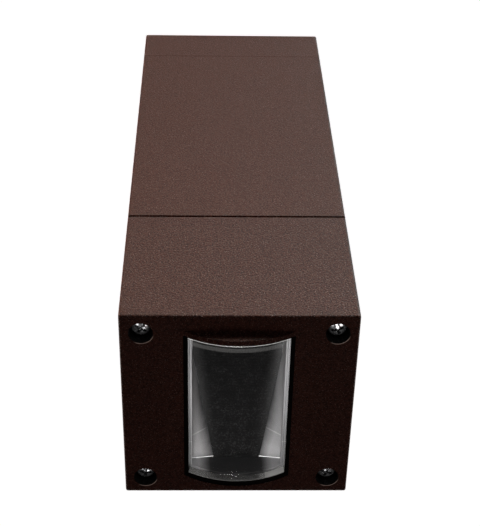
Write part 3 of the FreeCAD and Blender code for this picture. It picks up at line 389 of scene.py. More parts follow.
def drawn_metal(name, colour, rough=0.35, stretch=(1, 1, 0.06), depth=0.01 * MM):
    """Metal with fine lines drawn along one direction and a little tarnish."""
    made, tree, shader = blank_material(name)
    streak = noise(tree, 0.0006, stretch=stretch)
    feed(shader, Base_Color=tones(tree, noise(tree, 0.009, detail=4.0), colour, 0.8, 1.08),
         Roughness=spread(tree, streak, rough - 0.1, rough + 0.12), Metallic=1.0,
         Normal=bump(tree, streak, depth))
    return made


def zinc_sheet():
    """Hot-dip zinc on steel sheet, with its frost-like crystals in slightly different greys."""
    made, tree, shader = blank_material("zinc_coated_sheet")
    crystal = cells(tree, 0.006, output="Color")
    tone = node(tree, "ShaderNodeSeparateColor", Color=crystal).outputs["Red"]
    stain = noise(tree, 0.02, detail=4.0)
    base = blend_colours(tree, tone, (0.42, 0.43, 0.45), (0.58, 0.59, 0.61))
    feed(shader, Base_Color=blend_colours(tree, times(tree, stain, 0.4), base, (0.36, 0.37, 0.38)),
         Roughness=spread(tree, tone, 0.34, 0.5), Metallic=0.85, Normal=bump(tree, stain, 0.02 * MM))
    return made


def black_screw_metal():
    """Glossy blackened plating, worn a little lighter in patches."""
    made, tree, shader = blank_material("blackened_plating")
    wear = noise(tree, 0.0011, detail=4.0)
    worn = tones(tree, step_up(tree, wear, 0.5, 0.75), settings().finish.screw_colour, 1.0, 3.2)
    feed(shader, Base_Color=worn,
         Roughness=spread(tree, wear, 0.16, 0.34), Metallic=0.9, Normal=bump(tree, wear, 0.03 * MM))
    return made


def clear_glass():
    """Clear toughened glass, see-through and mirroring at a glancing angle, with dust, painted highlights
    along its ends and a painted reflection on its +Y end.
    """
    made, tree, shader = blank_material("clear_glass")
    tree.nodes.remove(shader)
    x, y, z = axes(tree)
    end = times(tree, y, -1.0)
    reach = glass_reach()
    # Towards -Y: a painted highlight line at the rim, then a faint painted reflection band a little way in.
    # Dust lies everywhere.
    painted_highlight_line = times(tree, step_up(tree, end, reach - 0.65 * MM, reach - 0.5 * MM), 0.32)
    painted_reflection_band = times(tree, step_up(tree, end, reach - 4.1 * MM, reach - 3.5 * MM), 0.04,
                 step_down(tree, end, reach - 1.7 * MM, reach - 1.3 * MM))
    dust = times(tree, step_up(tree, noise(tree, 0.0008, detail=2.0), 0.68, 0.80), 0.02)
    dust_and_painted_light = plus(tree, plus(tree, painted_highlight_line, painted_reflection_band), dust, clamp=True)
    # Towards +Y: a painted reflection on the end face, brighter near its corners, and a painted highlight
    # along the outer edge over it.
    far_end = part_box("glass")[1].y - SEAL_LAP_FAR - GLASS_GAP
    painted_end_reflection = maths(tree, "MULTIPLY_ADD", step_up(tree, x, 9 * MM, 17 * MM), 0.12, 0.06)
    painted_end_reflection = maths(tree, "MULTIPLY_ADD", step_up(tree, times(tree, x, -1.0), 9 * MM, 17 * MM), 0.38, painted_end_reflection)
    painted_end_reflection = times(tree, painted_end_reflection, step_up(tree, y, far_end - 0.06 * MM, far_end - 0.03 * MM))
    centre, outer = arc_of("glass")
    bend = diagonal(tree, x, minus(tree, z, centre))
    edge = times(tree, step_up(tree, y, far_end - 0.5 * MM, far_end - 0.4 * MM), 0.13,
                 step_up(tree, bend, outer - 0.5 * MM, outer - 0.4 * MM))
    dust_and_painted_light = larger(tree, dust_and_painted_light, larger(tree, painted_end_reflection, edge))
    # Clear glass that mirrors at a glancing angle, under the dust and painted light.
    through = node(tree, "ShaderNodeBsdfTransparent", Color=(0.95, 0.95, 0.95, 1))
    gloss = node(tree, "ShaderNodeBsdfGlossy", Color=(1, 1, 1, 1), Roughness=0.03)
    film = node(tree, "ShaderNodeBsdfDiffuse", Color=(0.7, 0.7, 0.68, 1))
    glance = node(tree, "ShaderNodeLayerWeight", Blend=0.5).outputs["Facing"]
    mirrored = maths(tree, "MULTIPLY_ADD", maths(tree, "POWER", glance, 5.0), 0.96, 0.04)
    clear = node(tree, "ShaderNodeMixShader", Fac=mirrored, i1=through.outputs[0], i2=gloss.outputs[0])
    glass_with_dust_and_painted_light = node(tree, "ShaderNodeMixShader", Fac=dust_and_painted_light, i1=clear.outputs[0], i2=film.outputs[0])
    feed(tree.nodes["Material Output"], Surface=glass_with_dust_and_painted_light.outputs[0])
    return made


def glass_reach():
    """How far the glass reaches towards -Y, under the brow, where its seal is thin."""
    return -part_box("glass_seal")[0].y - THIN_SEAL


def beyond_optic(tree, x, y):
    """How far across a point lies outside the tapering optic plate, in metres."""
    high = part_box("optic_plate")[1]
    bend_y, narrow = optic_bend()
    half = ramp(tree, y, bend_y, high.y, high.x, narrow)
    return minus(tree, unsigned(tree, plus(tree, x, -0.3 * MM)), half)


def optic_bend():
    """Where the optic plate starts to narrow, and half its width at its narrow end, read from the frame."""
    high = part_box("optic_plate")[1]
    corners = corners_of("optic_plate")
    wide_y = max(v.y for v in corners if abs(v.x - high.x) < 1e-5)
    narrow = max(v.x for v in corners if v.y > high.y - 2 * MM)
    return wide_y, narrow


def reflector_sheet():
    """Satin reflector sheet with painted shade beside the optic, painted light along its borders, a painted
    falloff along Y and a painted highlight line across it.
    """
    colour = settings().finish.sheet_colour
    made, tree, shader = blank_material("satin_reflector_sheet")
    x, y = axes(tree)[:2]
    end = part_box("optic_plate")[1].y
    # Painted shade: dark beside the optic, with an uneven edge that is softer towards +Y.
    wobble = times(tree, minus(tree, noise(tree, 0.006), 0.5), 2.0 * MM)
    at_end = times(tree, step_up(tree, y, end - 0.4 * MM, end), -1.8 * MM)
    beyond = plus(tree, beyond_optic(tree, x, y), at_end)
    soft_edge = spread(tree, step_up(tree, y, -20 * MM, 15 * MM), 2.6 * MM, 5.0 * MM)
    rise = ramp(tree, plus(tree, beyond, wobble), -0.4 * MM, soft_edge)
    # Painted light along the outer borders, more so towards +Y.
    strength = spread(tree, step_up(tree, y, -46 * MM, -4 * MM), 0.34, 0.95)
    painted_border_light = times(tree, step_up(tree, unsigned(tree, x), 17.4 * MM, 22.0 * MM), strength)
    lit = minus(tree, plus(tree, rise, painted_border_light), times(tree, rise, painted_border_light))
    streak = noise(tree, 0.0012, stretch=(1, 0.12, 0.12))
    sheet = tones(tree, spread(tree, streak, 0.2, 0.8), colour, 0.9, 1.08)
    # Painted shading: lighter towards -Y, darker towards +Y.
    painted_falloff = blend_colours(tree, step_up(tree, y, -25 * MM, end), grey(1.15), grey(0.54))
    shaded = blend_colours(tree, 1.0, sheet, painted_falloff, "MULTIPLY")
    tone = blend_colours(tree, lit, scaled(colour, 0.045), shaded)
    # A painted highlight line across the lit parts of the sheet.
    highlight_distance = unsigned(tree, minus(tree, y, end - FOLD_HIGHLIGHT))
    line = times(tree, step_down(tree, highlight_distance, 0.1 * MM, 0.5 * MM), 0.3, lit)
    peen = cells(tree, 0.0012, feature="SMOOTH_F1")
    feed(shader, Base_Color=blend_colours(tree, line, tone, grey(1.0)), Metallic=0.35, Specular_IOR_Level=0.3,
         Roughness=spread(tree, peen, 0.42, 0.58), Normal=bump(tree, peen, 0.05 * MM))
    return made


def fold_metal():
    """Burnished metal of the reflector's fold, brighter in random patches, with painted shade darkening its
    middle.
    """
    made, tree, shader = blank_material("burnished_fold")
    # Painted shade over the middle of the fold.
    middle = step_down(tree, unsigned(tree, axes(tree)[0]), 2.5 * MM, 7 * MM)
    patch = spread(tree, noise(tree, 0.004), 0.5, 1.0)
    bright = times(tree, patch, minus(tree, 1.0, times(tree, middle, 0.9)))
    feed(shader, Base_Color=blend_colours(tree, bright, grey(0.03), grey(0.95)),
         Roughness=spread(tree, patch, 0.2, 0.4), Metallic=0.3, Normal=bump(tree, patch, 0.02 * MM))
    return made


def smoked_optic():
    """Smoked prismatic plate with painted glints, painted shade deepening it towards the brow and painted
    light towards its edges.
    """
    colour = settings().finish.optic_colour
    made, tree, shader = blank_material("smoked_prismatic_plate")
    x, y = axes(tree)[:2]
    low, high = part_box("optic_plate")
    mottle = noise(tree, 0.004, detail=5.0, rough=0.65)
    grit = noise(tree, 0.0008, detail=1.0)
    paler = step_up(tree, y, low.y, high.y)
    # Painted glints: bright specks where the fine grit and the mottle meet.
    painted_glints = times(tree, step_up(tree, grit, 0.48, 0.66), step_up(tree, mottle, 0.38, 0.6))
    base = tones(tree, mottle, colour, 0.3, 1.5)
    speckled = blend_colours(tree, times(tree, painted_glints, 0.5), base, scaled(colour, 8))
    # Painted shade: darker towards the brow at -Y, lighter towards +Y.
    deep = blend_colours(tree, paler, grey(0.45), grey(1.6))
    toned = blend_colours(tree, 1.0, speckled, deep, "MULTIPLY")
    # Painted light: paler towards the plate's edges, less so towards +Y.
    glow = maths(tree, "POWER", ramp(tree, beyond_optic(tree, x, y), -7 * MM, 0.0), 1.8)
    glow = times(tree, glow, minus(tree, 0.75, times(tree, paler, 0.7)))
    feed(shader, Base_Color=blend_colours(tree, glow, toned, grey(0.09)), Specular_IOR_Level=0.04,
         Roughness=spread(tree, mottle, 0.5, 0.7),
         Normal=bump(tree, cells(tree, 0.001, feature="SMOOTH_F1"), 0.06 * MM))
    return made


def circuit_board():
    """White solder resist with faint tracks and a fine weave under it."""
    made, tree, shader = blank_material("white_circuit_board")
    track = node(tree, "ShaderNodeTexBrick", Vector=place_on_object(tree), Scale=260.0, Mortar_Size=0.03,
                 Color1=(0.80, 0.80, 0.77, 1), Color2=(0.74, 0.74, 0.70, 1), Mortar=(0.60, 0.60, 0.55, 1))
    weave = noise(tree, 0.0005, detail=2.0)
    feed(shader, Base_Color=track.outputs["Color"], Roughness=spread(tree, weave, 0.25, 0.4),
         Normal=bump(tree, weave, 0.01 * MM))
    return made


def phosphor():
    """Yellow phosphor gel over the emitters' chips."""
    made, tree, shader = blank_material("emitter_phosphor")
    cloud = noise(tree, 0.0009)
    feed(shader, Base_Color=blend_colours(tree, cloud, (0.72, 0.55, 0.08), (0.85, 0.72, 0.2)),
         Roughness=spread(tree, cloud, 0.15, 0.3), Normal=bump(tree, cloud, 0.01 * MM))
    return made


def studio_white(name, glow):
    """Pale stage surface that stays even under the soft light."""
    made, tree, shader = blank_material(name)
    pale = blend_colours(tree, noise(tree, 0.9, detail=1.0), grey(0.80), grey(0.82))
    feed(shader, Base_Color=pale, Emission_Color=pale, Emission_Strength=glow, Roughness=0.9,
         Specular_IOR_Level=0.1)
    return made


FINISHES = {}


def finish_of(name):
    """A finish by name, made on first use."""
    if name not in FINISHES:
        FINISHES[name] = FINISH_MAKERS[name]()
    return FINISHES[name]


FINISH_MAKERS = {
    "coat": lambda: powder_coat("bronze_powder_coat", 1.25),
    "cast_coat": lambda: powder_coat("sandy_bronze_powder_coat", 1.5),
    "rubber": lambda: soft_rubber("black_seal_rubber"),
    "gasket": lambda: soft_rubber("black_gasket_rubber", (0.006, 0.006, 0.006), 0.25),
    "glass": clear_glass,
    "sheet": reflector_sheet,
    "sink_metal": lambda: drawn_metal("plain_sink_aluminium", (0.52, 0.53, 0.55), 0.45, (1, 0.05, 1)),
    "optic": smoked_optic,
    "bead": fold_metal,
    "screw": black_screw_metal,
    "zinc": lambda: drawn_metal("zinc_plated_steel", (0.56, 0.57, 0.58), 0.3, (0.3, 1, 0.08), 0.002 * MM),
    "zinc_sheet": zinc_sheet,
    "brass": lambda: drawn_metal("plain_brass", (0.62, 0.45, 0.16), 0.28, (1, 1, 0.3)),
    "board": circuit_board,
    "phosphor": phosphor,
    "pad": lambda: soft_rubber("grey_thermal_pad", (0.30, 0.32, 0.34), 0.3),
    "white_plastic": lambda: moulded("white_case_plastic", (0.72, 0.72, 0.69)),
    "grey_plastic": lambda: moulded("grey_case_plastic", (0.12, 0.125, 0.135), 0.42),
    "cream_plastic": lambda: moulded("cream_terminal_plastic", (0.66, 0.63, 0.52), 0.38),
    "red_lead": lambda: moulded("red_lead_insulation", (0.42, 0.02, 0.02), 0.3, 0.001),
    "blue_lead": lambda: moulded("blue_lead_insulation", (0.04, 0.10, 0.38), 0.3, 0.001),
    "green_lead": lambda: moulded("green_lead_insulation", (0.10, 0.32, 0.05), 0.3, 0.001),
}


# ---------------------------------------------------------------- mesh helpers

def finish_piece(piece, body, look, nodes):
    """Gives a piece its finish, lets it ride on its body and stand for its CAD nodes."""
    piece.data.materials.clear()
    piece.data.materials.append(finish_of(look))
    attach(piece, body)
    if nodes:
        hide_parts(*nodes)
    return piece


def add_object(name, mesh):
    made = bpy.data.objects.new(name, mesh)
    bpy.context.scene.collection.objects.link(made)
    return made


def corners_of(name):
    """The corners of a CAD node's mesh."""
    return [vert.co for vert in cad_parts[name].data.vertices]


def mesh_of(shape, name):
    """A new mesh from the bmesh, which is freed."""
    mesh = bpy.data.meshes.new(name)
    shape.to_mesh(mesh)
    shape.free()
    return mesh


def merged(name):
    """A CAD node's shape as a bmesh with its corners joined and its flat faces whole."""
    shape = bmesh.new()
    shape.from_mesh(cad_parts[name].data)
    bmesh.ops.remove_doubles(shape, verts=shape.verts, dist=0.002 * MM)
    bmesh.ops.dissolve_limit(shape, angle_limit=math.radians(0.4), verts=shape.verts, edges=shape.edges)
    return shape


def smooth_by_angle(mesh, degrees=35):
    mesh.shade_smooth()
    mesh.set_sharp_from_angle(angle=math.radians(degrees))


def soften(piece, width, steps=2, degrees=35):
    """Rounds the piece's edges and evens its shading."""
    edge = piece.modifiers.new("Soft edges", "BEVEL")
    edge.width = width
    edge.segments = steps
    edge.limit_method = "ANGLE"
    edge.angle_limit = math.radians(degrees)
    edge.harden_normals = True
    edge.use_clamp_overlap = True
    even = piece.modifiers.new("Even shading", "WEIGHTED_NORMAL")
    even.keep_sharp = True


def dress(name, piece_name, body, look, width, steps=2):
    """A copy of a CAD node with its edges softened, in its finish, that stands for the node."""
    mesh = mesh_of(merged(name), piece_name)
    smooth_by_angle(mesh)
    piece = add_object(piece_name, mesh)
    soften(piece, width, steps)
    return finish_piece(piece, body, look, [name])


def solids_of(name):
    """(lowest corner, highest corner) of each separate solid in a CAD node."""
    shape = merged(name)
    left = set(shape.verts)
    found = []
    while left:
        island = [left.pop()]
        for vert in island:
            for edge in vert.link_edges:
                other = edge.other_vert(vert)
                if other in left:
                    left.remove(other)
                    island.append(other)
        spots = [vert.co for vert in island]
        low = Vector(min(co[axis] for co in spots) for axis in range(3))
        high = Vector(max(co[axis] for co in spots) for axis in range(3))
        found.append((low, high))
    shape.free()
    return sorted(found, key=lambda pair: tuple(pair[0]))


def lathe(name, profile, steps=40):
    """A closed solid turned about Z from (radius, height) points that start and end on the axis."""
    shape = bmesh.new()
    angles = [2 * math.pi * step / steps for step in range(steps)]
    rings = []
    for radius, height in profile:
        spots = [(radius * math.cos(angle), radius * math.sin(angle), height) for angle in angles]
        if radius == 0:
            spots = [(0, 0, height)]
        rings.append([shape.verts.new(spot) for spot in spots])
    for below, above in zip(rings, rings[1:]):
        for step in range(steps):
            after = (step + 1) % steps
            corners = [below[step % len(below)], below[after % len(below)]]
            corners += [above[after % len(above)], above[step % len(above)]]
            shape.faces.new(list(dict.fromkeys(corners)))
    bmesh.ops.recalc_face_normals(shape, faces=shape.faces)
    return mesh_of(shape, name)


def plain_mesh(piece, name):
    """The evaluated piece as a plain mesh; the piece itself is removed."""
    view = bpy.context.evaluated_depsgraph_get()
    mesh = bpy.data.meshes.new_from_object(piece.evaluated_get(view), preserve_all_data_layers=True,
                                           depsgraph=view)
    mesh.name = name
    bpy.data.objects.remove(piece)
    return mesh


def carve(mesh, cutters):
    """The mesh less each cutter mesh."""
    body = add_object("carved", mesh)
    tools = [add_object("cutter", cutter) for cutter in cutters]
    for tool in tools:
        step = body.modifiers.new("Carve", "BOOLEAN")
        step.operation = "DIFFERENCE"
        step.solver = "EXACT"
        step.object = tool
    bpy.context.view_layer.update()
    left = plain_mesh(body, mesh.name)
    for tool in tools:
        bpy.data.objects.remove(tool)
    return left


def block_mesh(name, low, high, taper_to=1.0):
    """A box whose upper face is scaled about the middle by taper_to."""
    shape = bmesh.new()
    bmesh.ops.create_cube(shape, size=1)
    middle, extent = (Vector(low) + Vector(high)) / 2, Vector(high) - Vector(low)
    for vert in shape.verts:
        wide = taper_to if vert.co.z > 0 else 1.0
        vert.co = vert.co * extent * Vector((wide, wide, 1)) + middle
    return mesh_of(shape, name)


# ---------------------------------------------------------------- geometry nodes

def copies_tree():
    """Places a copy of one part on every point, turned alike, as one mesh in one finish."""
    name = "Place copies"
    if name in bpy.data.node_groups:
        return bpy.data.node_groups[name]
    tree = bpy.data.node_groups.new(name, "GeometryNodeTree")
    for label, kind in (("Points", "Geometry"), ("Part", "Object"), ("Turn", "Vector"),
                        ("Spin spread", "Float"), ("Seed", "Int"), ("Finish", "Material")):
        tree.interface.new_socket(label, in_out="INPUT", socket_type="NodeSocket" + kind)
    tree.interface.new_socket("Geometry", in_out="OUTPUT", socket_type="NodeSocketGeometry")
    given = tree.nodes.new("NodeGroupInput").outputs
    part = node(tree, "GeometryNodeObjectInfo", Object=given["Part"])
    turn = node(tree, "FunctionNodeEulerToRotation", i0=given["Turn"])
    placed = node(tree, "GeometryNodeInstanceOnPoints", Points=given["Points"],
                  Instance=part.outputs["Geometry"], Rotation=turn.outputs[0])
    most = node(tree, "ShaderNodeCombineXYZ", Z=given["Spin spread"])
    chance = node(tree, "FunctionNodeRandomValue", set_data_type="FLOAT_VECTOR", Max=most.outputs[0],
                  Seed=given["Seed"])
    spun = node(tree, "GeometryNodeRotateInstances", Instances=placed.outputs[0], Rotation=chance.outputs[0])
    joined = node(tree, "GeometryNodeRealizeInstances", i0=spun.outputs[0])
    painted = node(tree, "GeometryNodeSetMaterial", Geometry=joined.outputs[0], Material=given["Finish"])
    node(tree, "NodeGroupOutput", i0=painted.outputs[0])
    return tree


def place_copies(name, part_mesh, spots, look, turn=(0, 0, 0), spin=0.0, seed=3):
    """One plain mesh object holding a copy of the part at every spot."""
    points = bpy.data.meshes.new(name + "_points")
    points.from_pydata([tuple(spot) for spot in spots], [], [])
    holder = add_object(name + "_holder", points)
    part = add_object(name + "_part", part_mesh)
    tree = copies_tree()
    step = holder.modifiers.new("Place copies", "NODES")
    step.node_group = tree
    values = {"Part": part, "Turn": turn, "Spin spread": spin, "Seed": seed, "Finish": finish_of(look)}
    for item in tree.interface.items_tree:
        if item.item_type == "SOCKET" and item.in_out == "INPUT" and item.name in values:
            step[item.identifier] = values[item.name]
    bpy.context.view_layer.update()
    mesh = plain_mesh(holder, name)
    bpy.data.objects.remove(part)
    smooth_by_angle(mesh)
    return add_object(name, mesh)


# ---------------------------------------------------------------- pieces

def pan_head_mesh(name, radius, height, shank, length, pitch=0.0, threaded=0.0, steps=40):
    """A cross-recessed pan head screw standing on its tip side down, its head's underside at zero."""
    profile = []
    for row in range(HEAD_ROWS + 1):
        angle = math.pi / 2 * row / HEAD_ROWS
        profile.append((radius * math.sin(angle), height * (0.40 + 0.60 * math.cos(angle))))
    profile += [(radius, 0), (shank, 0)]
    if threaded:
        start = -(length - threaded)
        profile.append((shank, start))
        for turn in range(int(threaded / pitch) - 1):
            level = start - turn * pitch
            profile += [(shank, level - pitch * 0.1), (shank * 0.82, level - pitch * 0.5),
                        (shank, level - pitch * 0.9)]
    profile += [(shank * 0.95, -length + shank * 0.3), (shank * 0.7, -length), (0, -length)]
    mesh = lathe(name, profile, steps)
    arm, slot = radius * 0.56, radius * 0.13
    floor, over = height * 0.35, height * 1.3
    return carve(mesh, [block_mesh("slot", (-wide, -deep, floor), (wide, deep, over), taper_to=1.35)
                        for wide, deep in ((arm, slot), (slot, arm))])


class BOLLARD_OT_post(Operator):
    """Make the foot and the column from the frame's shapes"""

    bl_idname = "bollard.post"
    bl_label = "Foot and column"

    def execute(self, context):
        edge = settings().shape.casting_edge
        dress("foot", "cast_foot", "base", "coat", edge, 3)
        dress("column", "extruded_column", "column", "coat", edge, 3)
        dress("entry_grommet", "cable_grommet", "base", "gasket", edge, 3)
        dress("earth_stud", "foot_earth_stud", "base", "brass", settings().shape.small_edge)
        return {"FINISHED"}


class BOLLARD_OT_head_shell(Operator):
    """Make the head casting and the gasket under it"""

    bl_idname = "bollard.head_shell"
    bl_label = "Head casting"

    def execute(self, context):
        edge = settings().shape.casting_edge
        dress("head_housing", "head_casting", "head", "cast_coat", edge, 3)
        dress("joint_gasket", "head_gasket", "head", "gasket", edge)
        return {"FINISHED"}


class BOLLARD_OT_long_screws(Operator):
    """Set the four long screws and their washers in the head's corners"""

    bl_idname = "bollard.long_screws"
    bl_label = "Long screws"

    def execute(self, context):
        shape = settings().shape
        washers = solids_of("sealing_washers")
        screws = solids_of("head_screws")
        low, high = screws[0]
        seat = washers[0][1].z
        mesh = pan_head_mesh("long_screw", (high.x - low.x) / 2, high.z - seat, shape.shank_radius,
                             seat - low.z, shape.thread_pitch, shape.thread_length)
        spots = [((a.x + b.x) / 2, (a.y + b.y) / 2, seat) for a, b in screws]
        made = place_copies("long_head_screws", mesh, spots, "screw", spin=SCREW_SPIN)
        finish_piece(made, "head", "screw", ["head_screws"])
        dress("sealing_washers", "screw_washers", "head", "gasket", shape.small_edge)
        return {"FINISHED"}


class BOLLARD_OT_set_screws(Operator):
    """Set the four socket screws low in the column's sides"""

    bl_idname = "bollard.set_screws"
    bl_label = "Set screws"

    def execute(self, context):
        solids = solids_of("column_set_screws")
        low, high = solids[-1]
        radius, length = (high.z - low.z) / 2, high.x - low.x
        profile = [(0, length), (radius * 0.86, length), (radius, length - radius * 0.14)]
        profile += [(radius, radius * 0.3), (radius * 0.72, 0), (0, 0)]
        flat, floor, over = radius * 0.58, length * 0.4, length * 2
        socket = lathe("socket", [(0, floor), (flat, floor), (flat, over), (0, over)], steps=6)
        mesh = carve(lathe("set_screw", profile, 32), [socket])
        middle_z = (low.z + high.z) / 2
        right = [(a.x, (a.y + b.y) / 2, middle_z) for a, b in solids if a.x > 0]
        left = [(b.x, (a.y + b.y) / 2, middle_z) for a, b in solids if a.x < 0]
        for side, spots, turn in (("right", right, math.pi / 2), ("left", left, -math.pi / 2)):
            made = place_copies(f"set_screws_{side}", mesh.copy(), spots, "screw", turn=(0, turn, 0))
            finish_piece(made, "column", "screw", ["column_set_screws"])
        return {"FINISHED"}


def arc_of(name):
    """The curved CAD node's outer arc: (height of its centre, radius)."""
    low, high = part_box(name)
    side = max(v.z for v in corners_of(name) if v.x > high.x - 0.01 * MM)
    rise, half = high.z - side, (high.x - low.x) / 2
    radius = (half ** 2 + rise ** 2) / (2 * rise)
    return high.z - radius, radius


def inner_radius(name, centre, outer):
    """The radius of a curved CAD node's hollow side."""
    reaches = [math.hypot(v.x, v.z - centre) for v in corners_of(name)]
    return min(reach for reach in reaches if reach > outer / 2)


def curved_bar(name, half, near, far, centre, outer, inner, steps):
    """A plate bent about Y between two radii, from near to far along Y."""
    shape = bmesh.new()
    sections = []
    for y in (near, far):
        top, bottom = [], []
        for step in range(steps + 1):
            x = -half + 2 * half * step / steps
            top.append(shape.verts.new((x, y, centre + math.sqrt(outer ** 2 - x ** 2))))
            bottom.append(shape.verts.new((x, y, centre + math.sqrt(inner ** 2 - x ** 2))))
        sections.append(top + bottom[::-1])
    first, second = sections
    count = len(first)
    for step in range(count):
        after = (step + 1) % count
        shape.faces.new([first[step], second[step], second[after], first[after]])
    shape.faces.new(first)
    shape.faces.new(second[::-1])
    bmesh.ops.recalc_face_normals(shape, faces=shape.faces)
    mesh = mesh_of(shape, name)
    smooth_by_angle(mesh)
    return add_object(name, mesh)


class BOLLARD_OT_window(Operator):
    """Make the bent glass, its seal and the frame under it"""

    bl_idname = "bollard.window"
    bl_label = "Window"

    def execute(self, context):
        shape = settings().shape
        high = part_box("glass")[1]
        near = -glass_reach()
        centre, outer = arc_of("glass")
        inner = inner_radius("glass", centre, outer)
        half, far = high.x - SEAL_LAP, high.y - SEAL_LAP_FAR
        glass = curved_bar("bent_glass", half - GLASS_GAP, near + GLASS_GAP, far - GLASS_GAP, centre, outer,
                           inner, shape.arc_steps)
        soften(glass, 0.3 * MM, 3)
        finish_piece(glass, "head", "glass", ["glass"])
        seal_low, seal_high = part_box("glass_seal")
        centre, seal_outer = arc_of("glass_seal")
        seal_inner = inner_radius("glass_seal", centre, seal_outer)
        ring = curved_bar("seal_ring", seal_high.x, seal_low.y, seal_high.y, centre, seal_outer, seal_inner,
                          shape.arc_steps)
        hole = curved_bar("seal_hole", half, near, far, centre, seal_outer * 1.2, seal_inner * 0.8,
                          shape.arc_steps)
        mesh = carve(ring.data, [hole.data])
        for spare in (ring, hole):
            bpy.data.objects.remove(spare)
        mesh.name = "window_seal"
        smooth_by_angle(mesh)
        seal = add_object("window_seal", mesh)
        soften(seal, 0.2 * MM, 2)
        finish_piece(seal, "head", "rubber", ["glass_seal"])
        dress("glass_frame", "window_frame", "head", "sheet", shape.small_edge)
        return {"FINISHED"}


class BOLLARD_OT_optics(Operator):
    """Make the folded reflector and the prismatic plate on its floor"""

    bl_idname = "bollard.optics"
    bl_label = "Reflector and optic"

    def execute(self, context):
        shape = settings().shape
        dress("reflector", "folded_reflector", "head", "sheet", shape.small_edge)
        dress("optic_plate", "prismatic_plate", "head", "optic", shape.small_edge)
        made = prisms(shape.prism_pitch)
        finish_piece(made, "head", "optic", [])
        bead = fold_bead(FOLD_BEAD)
        finish_piece(bead, "head", "bead", [])
        return {"FINISHED"}


def fold_bead(radius):
    """The bright rounded fold where the reflector's floor and sides meet its end wall."""
    near = 0.02 * MM
    wall = [v for v in corners_of("reflector") if abs(v.y - REFLECTOR_END) < near and v.z < REFLECTOR_MOUTH]
    mouth_x = max(v.x for v in wall)
    mouth_z = min(v.z for v in wall if v.x > mouth_x - near)
    floor_z = min(v.z for v in wall)
    floor_x = max(v.x for v in wall if v.z < floor_z + near)
    route = [(-mouth_x, mouth_z), (-floor_x, floor_z), (floor_x, floor_z), (mouth_x, mouth_z)]
    line = bpy.data.curves.new("fold_bead", "CURVE")
    line.dimensions = "3D"
    line.bevel_depth = radius
    line.bevel_resolution = 3
    line.use_fill_caps = True
    spline = line.splines.new("POLY")
    spline.points.add(len(route) - 1)
    for point, (x, z) in zip(spline.points, route):
        point.co = (x, REFLECTOR_END - radius, z + radius, 1)
    holder = add_object("fold_holder", line)
    bpy.context.view_layer.update()
    mesh = plain_mesh(holder, "reflector_fold")
    smooth_by_angle(mesh)
    return add_object("reflector_fold", mesh)


def prisms(pitch):
    """Rows of low four-sided prisms over the sloping plate, kept inside its tapering outline."""
    low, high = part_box("optic_plate")
    corners = corners_of("optic_plate")
    near_top = max(v.z for v in corners if v.y < low.y + 1.5 * MM)
    near_y = min(v.y for v in corners if v.z > near_top - 0.05 * MM and v.y < 0)
    far_y = min(v.y for v in corners if v.z > high.z - 0.05 * MM)
    slope = (high.z - near_top) / (far_y - near_y)
    bend_y, narrow = optic_bend()
    spots = []
    for row in range(1, int((far_y - near_y) / pitch)):
        y = near_y + row * pitch
        share = min(1.0, max(0.0, (y - bend_y) / (high.y - bend_y)))
        half = high.x + (narrow - high.x) * share - pitch
        count = int(half / pitch)
        shift = pitch / 2 * (row % 2) + pitch / 4
        z = near_top + (y - near_y) * slope - 0.02 * MM
        spots += [(column * pitch + shift, y, z) for column in range(-count, count)]
    shape = bmesh.new()
    depth = pitch * 0.22
    bmesh.ops.create_cone(shape, cap_ends=True, segments=4, radius1=pitch * 0.5, radius2=0, depth=depth)
    bmesh.ops.translate(shape, verts=shape.verts, vec=(0, 0, depth / 2))
    return place_copies("optic_prisms", mesh_of(shape, "prism"), spots, "optic",
                        turn=(math.atan(slope), 0, math.pi / 4))


class BOLLARD_OT_light_engine(Operator):
    """Make the board with its emitters, the thermal pad and the heat sink"""

    bl_idname = "bollard.light_engine"
    bl_label = "Light engine"

    def execute(self, context):
        edge = settings().shape.small_edge
        dress("led_board", "emitter_board", "head", "board", edge)
        dress("thermal_pad", "soft_thermal_pad", "head", "pad", edge)
        dress("led_connector", "board_plug", "head", "white_plastic", edge)
        dress("led_emitters", "board_emitters", "head", "phosphor", edge)
        dress("heat_sink", "finned_heat_sink", "head", "sink_metal", edge)
        return {"FINISHED"}


class BOLLARD_OT_gear(Operator):
    """Make the hanging tray with its driver, terminals, cord grip and earth point"""

    bl_idname = "bollard.gear"
    bl_label = "Gear tray"

    def execute(self, context):
        edge = settings().shape.small_edge
        dress("gear_tray", "hanging_tray", "head", "zinc_sheet", edge)
        dress("driver_case", "driver_body", "head", "white_plastic", 2 * edge, 3)
        dress("driver_cover", "driver_front", "head", "grey_plastic", 2 * edge)
        dress("terminal_block", "wire_terminals", "head", "cream_plastic", edge)
        dress("cord_grip", "cord_saddle", "head", "grey_plastic", 2 * edge, 3)
        dress("earth_lug", "earth_ring", "head", "brass", edge)
        dress("terminal_screws", "terminal_slot_screws", "head", "brass", edge)
        return {"FINISHED"}


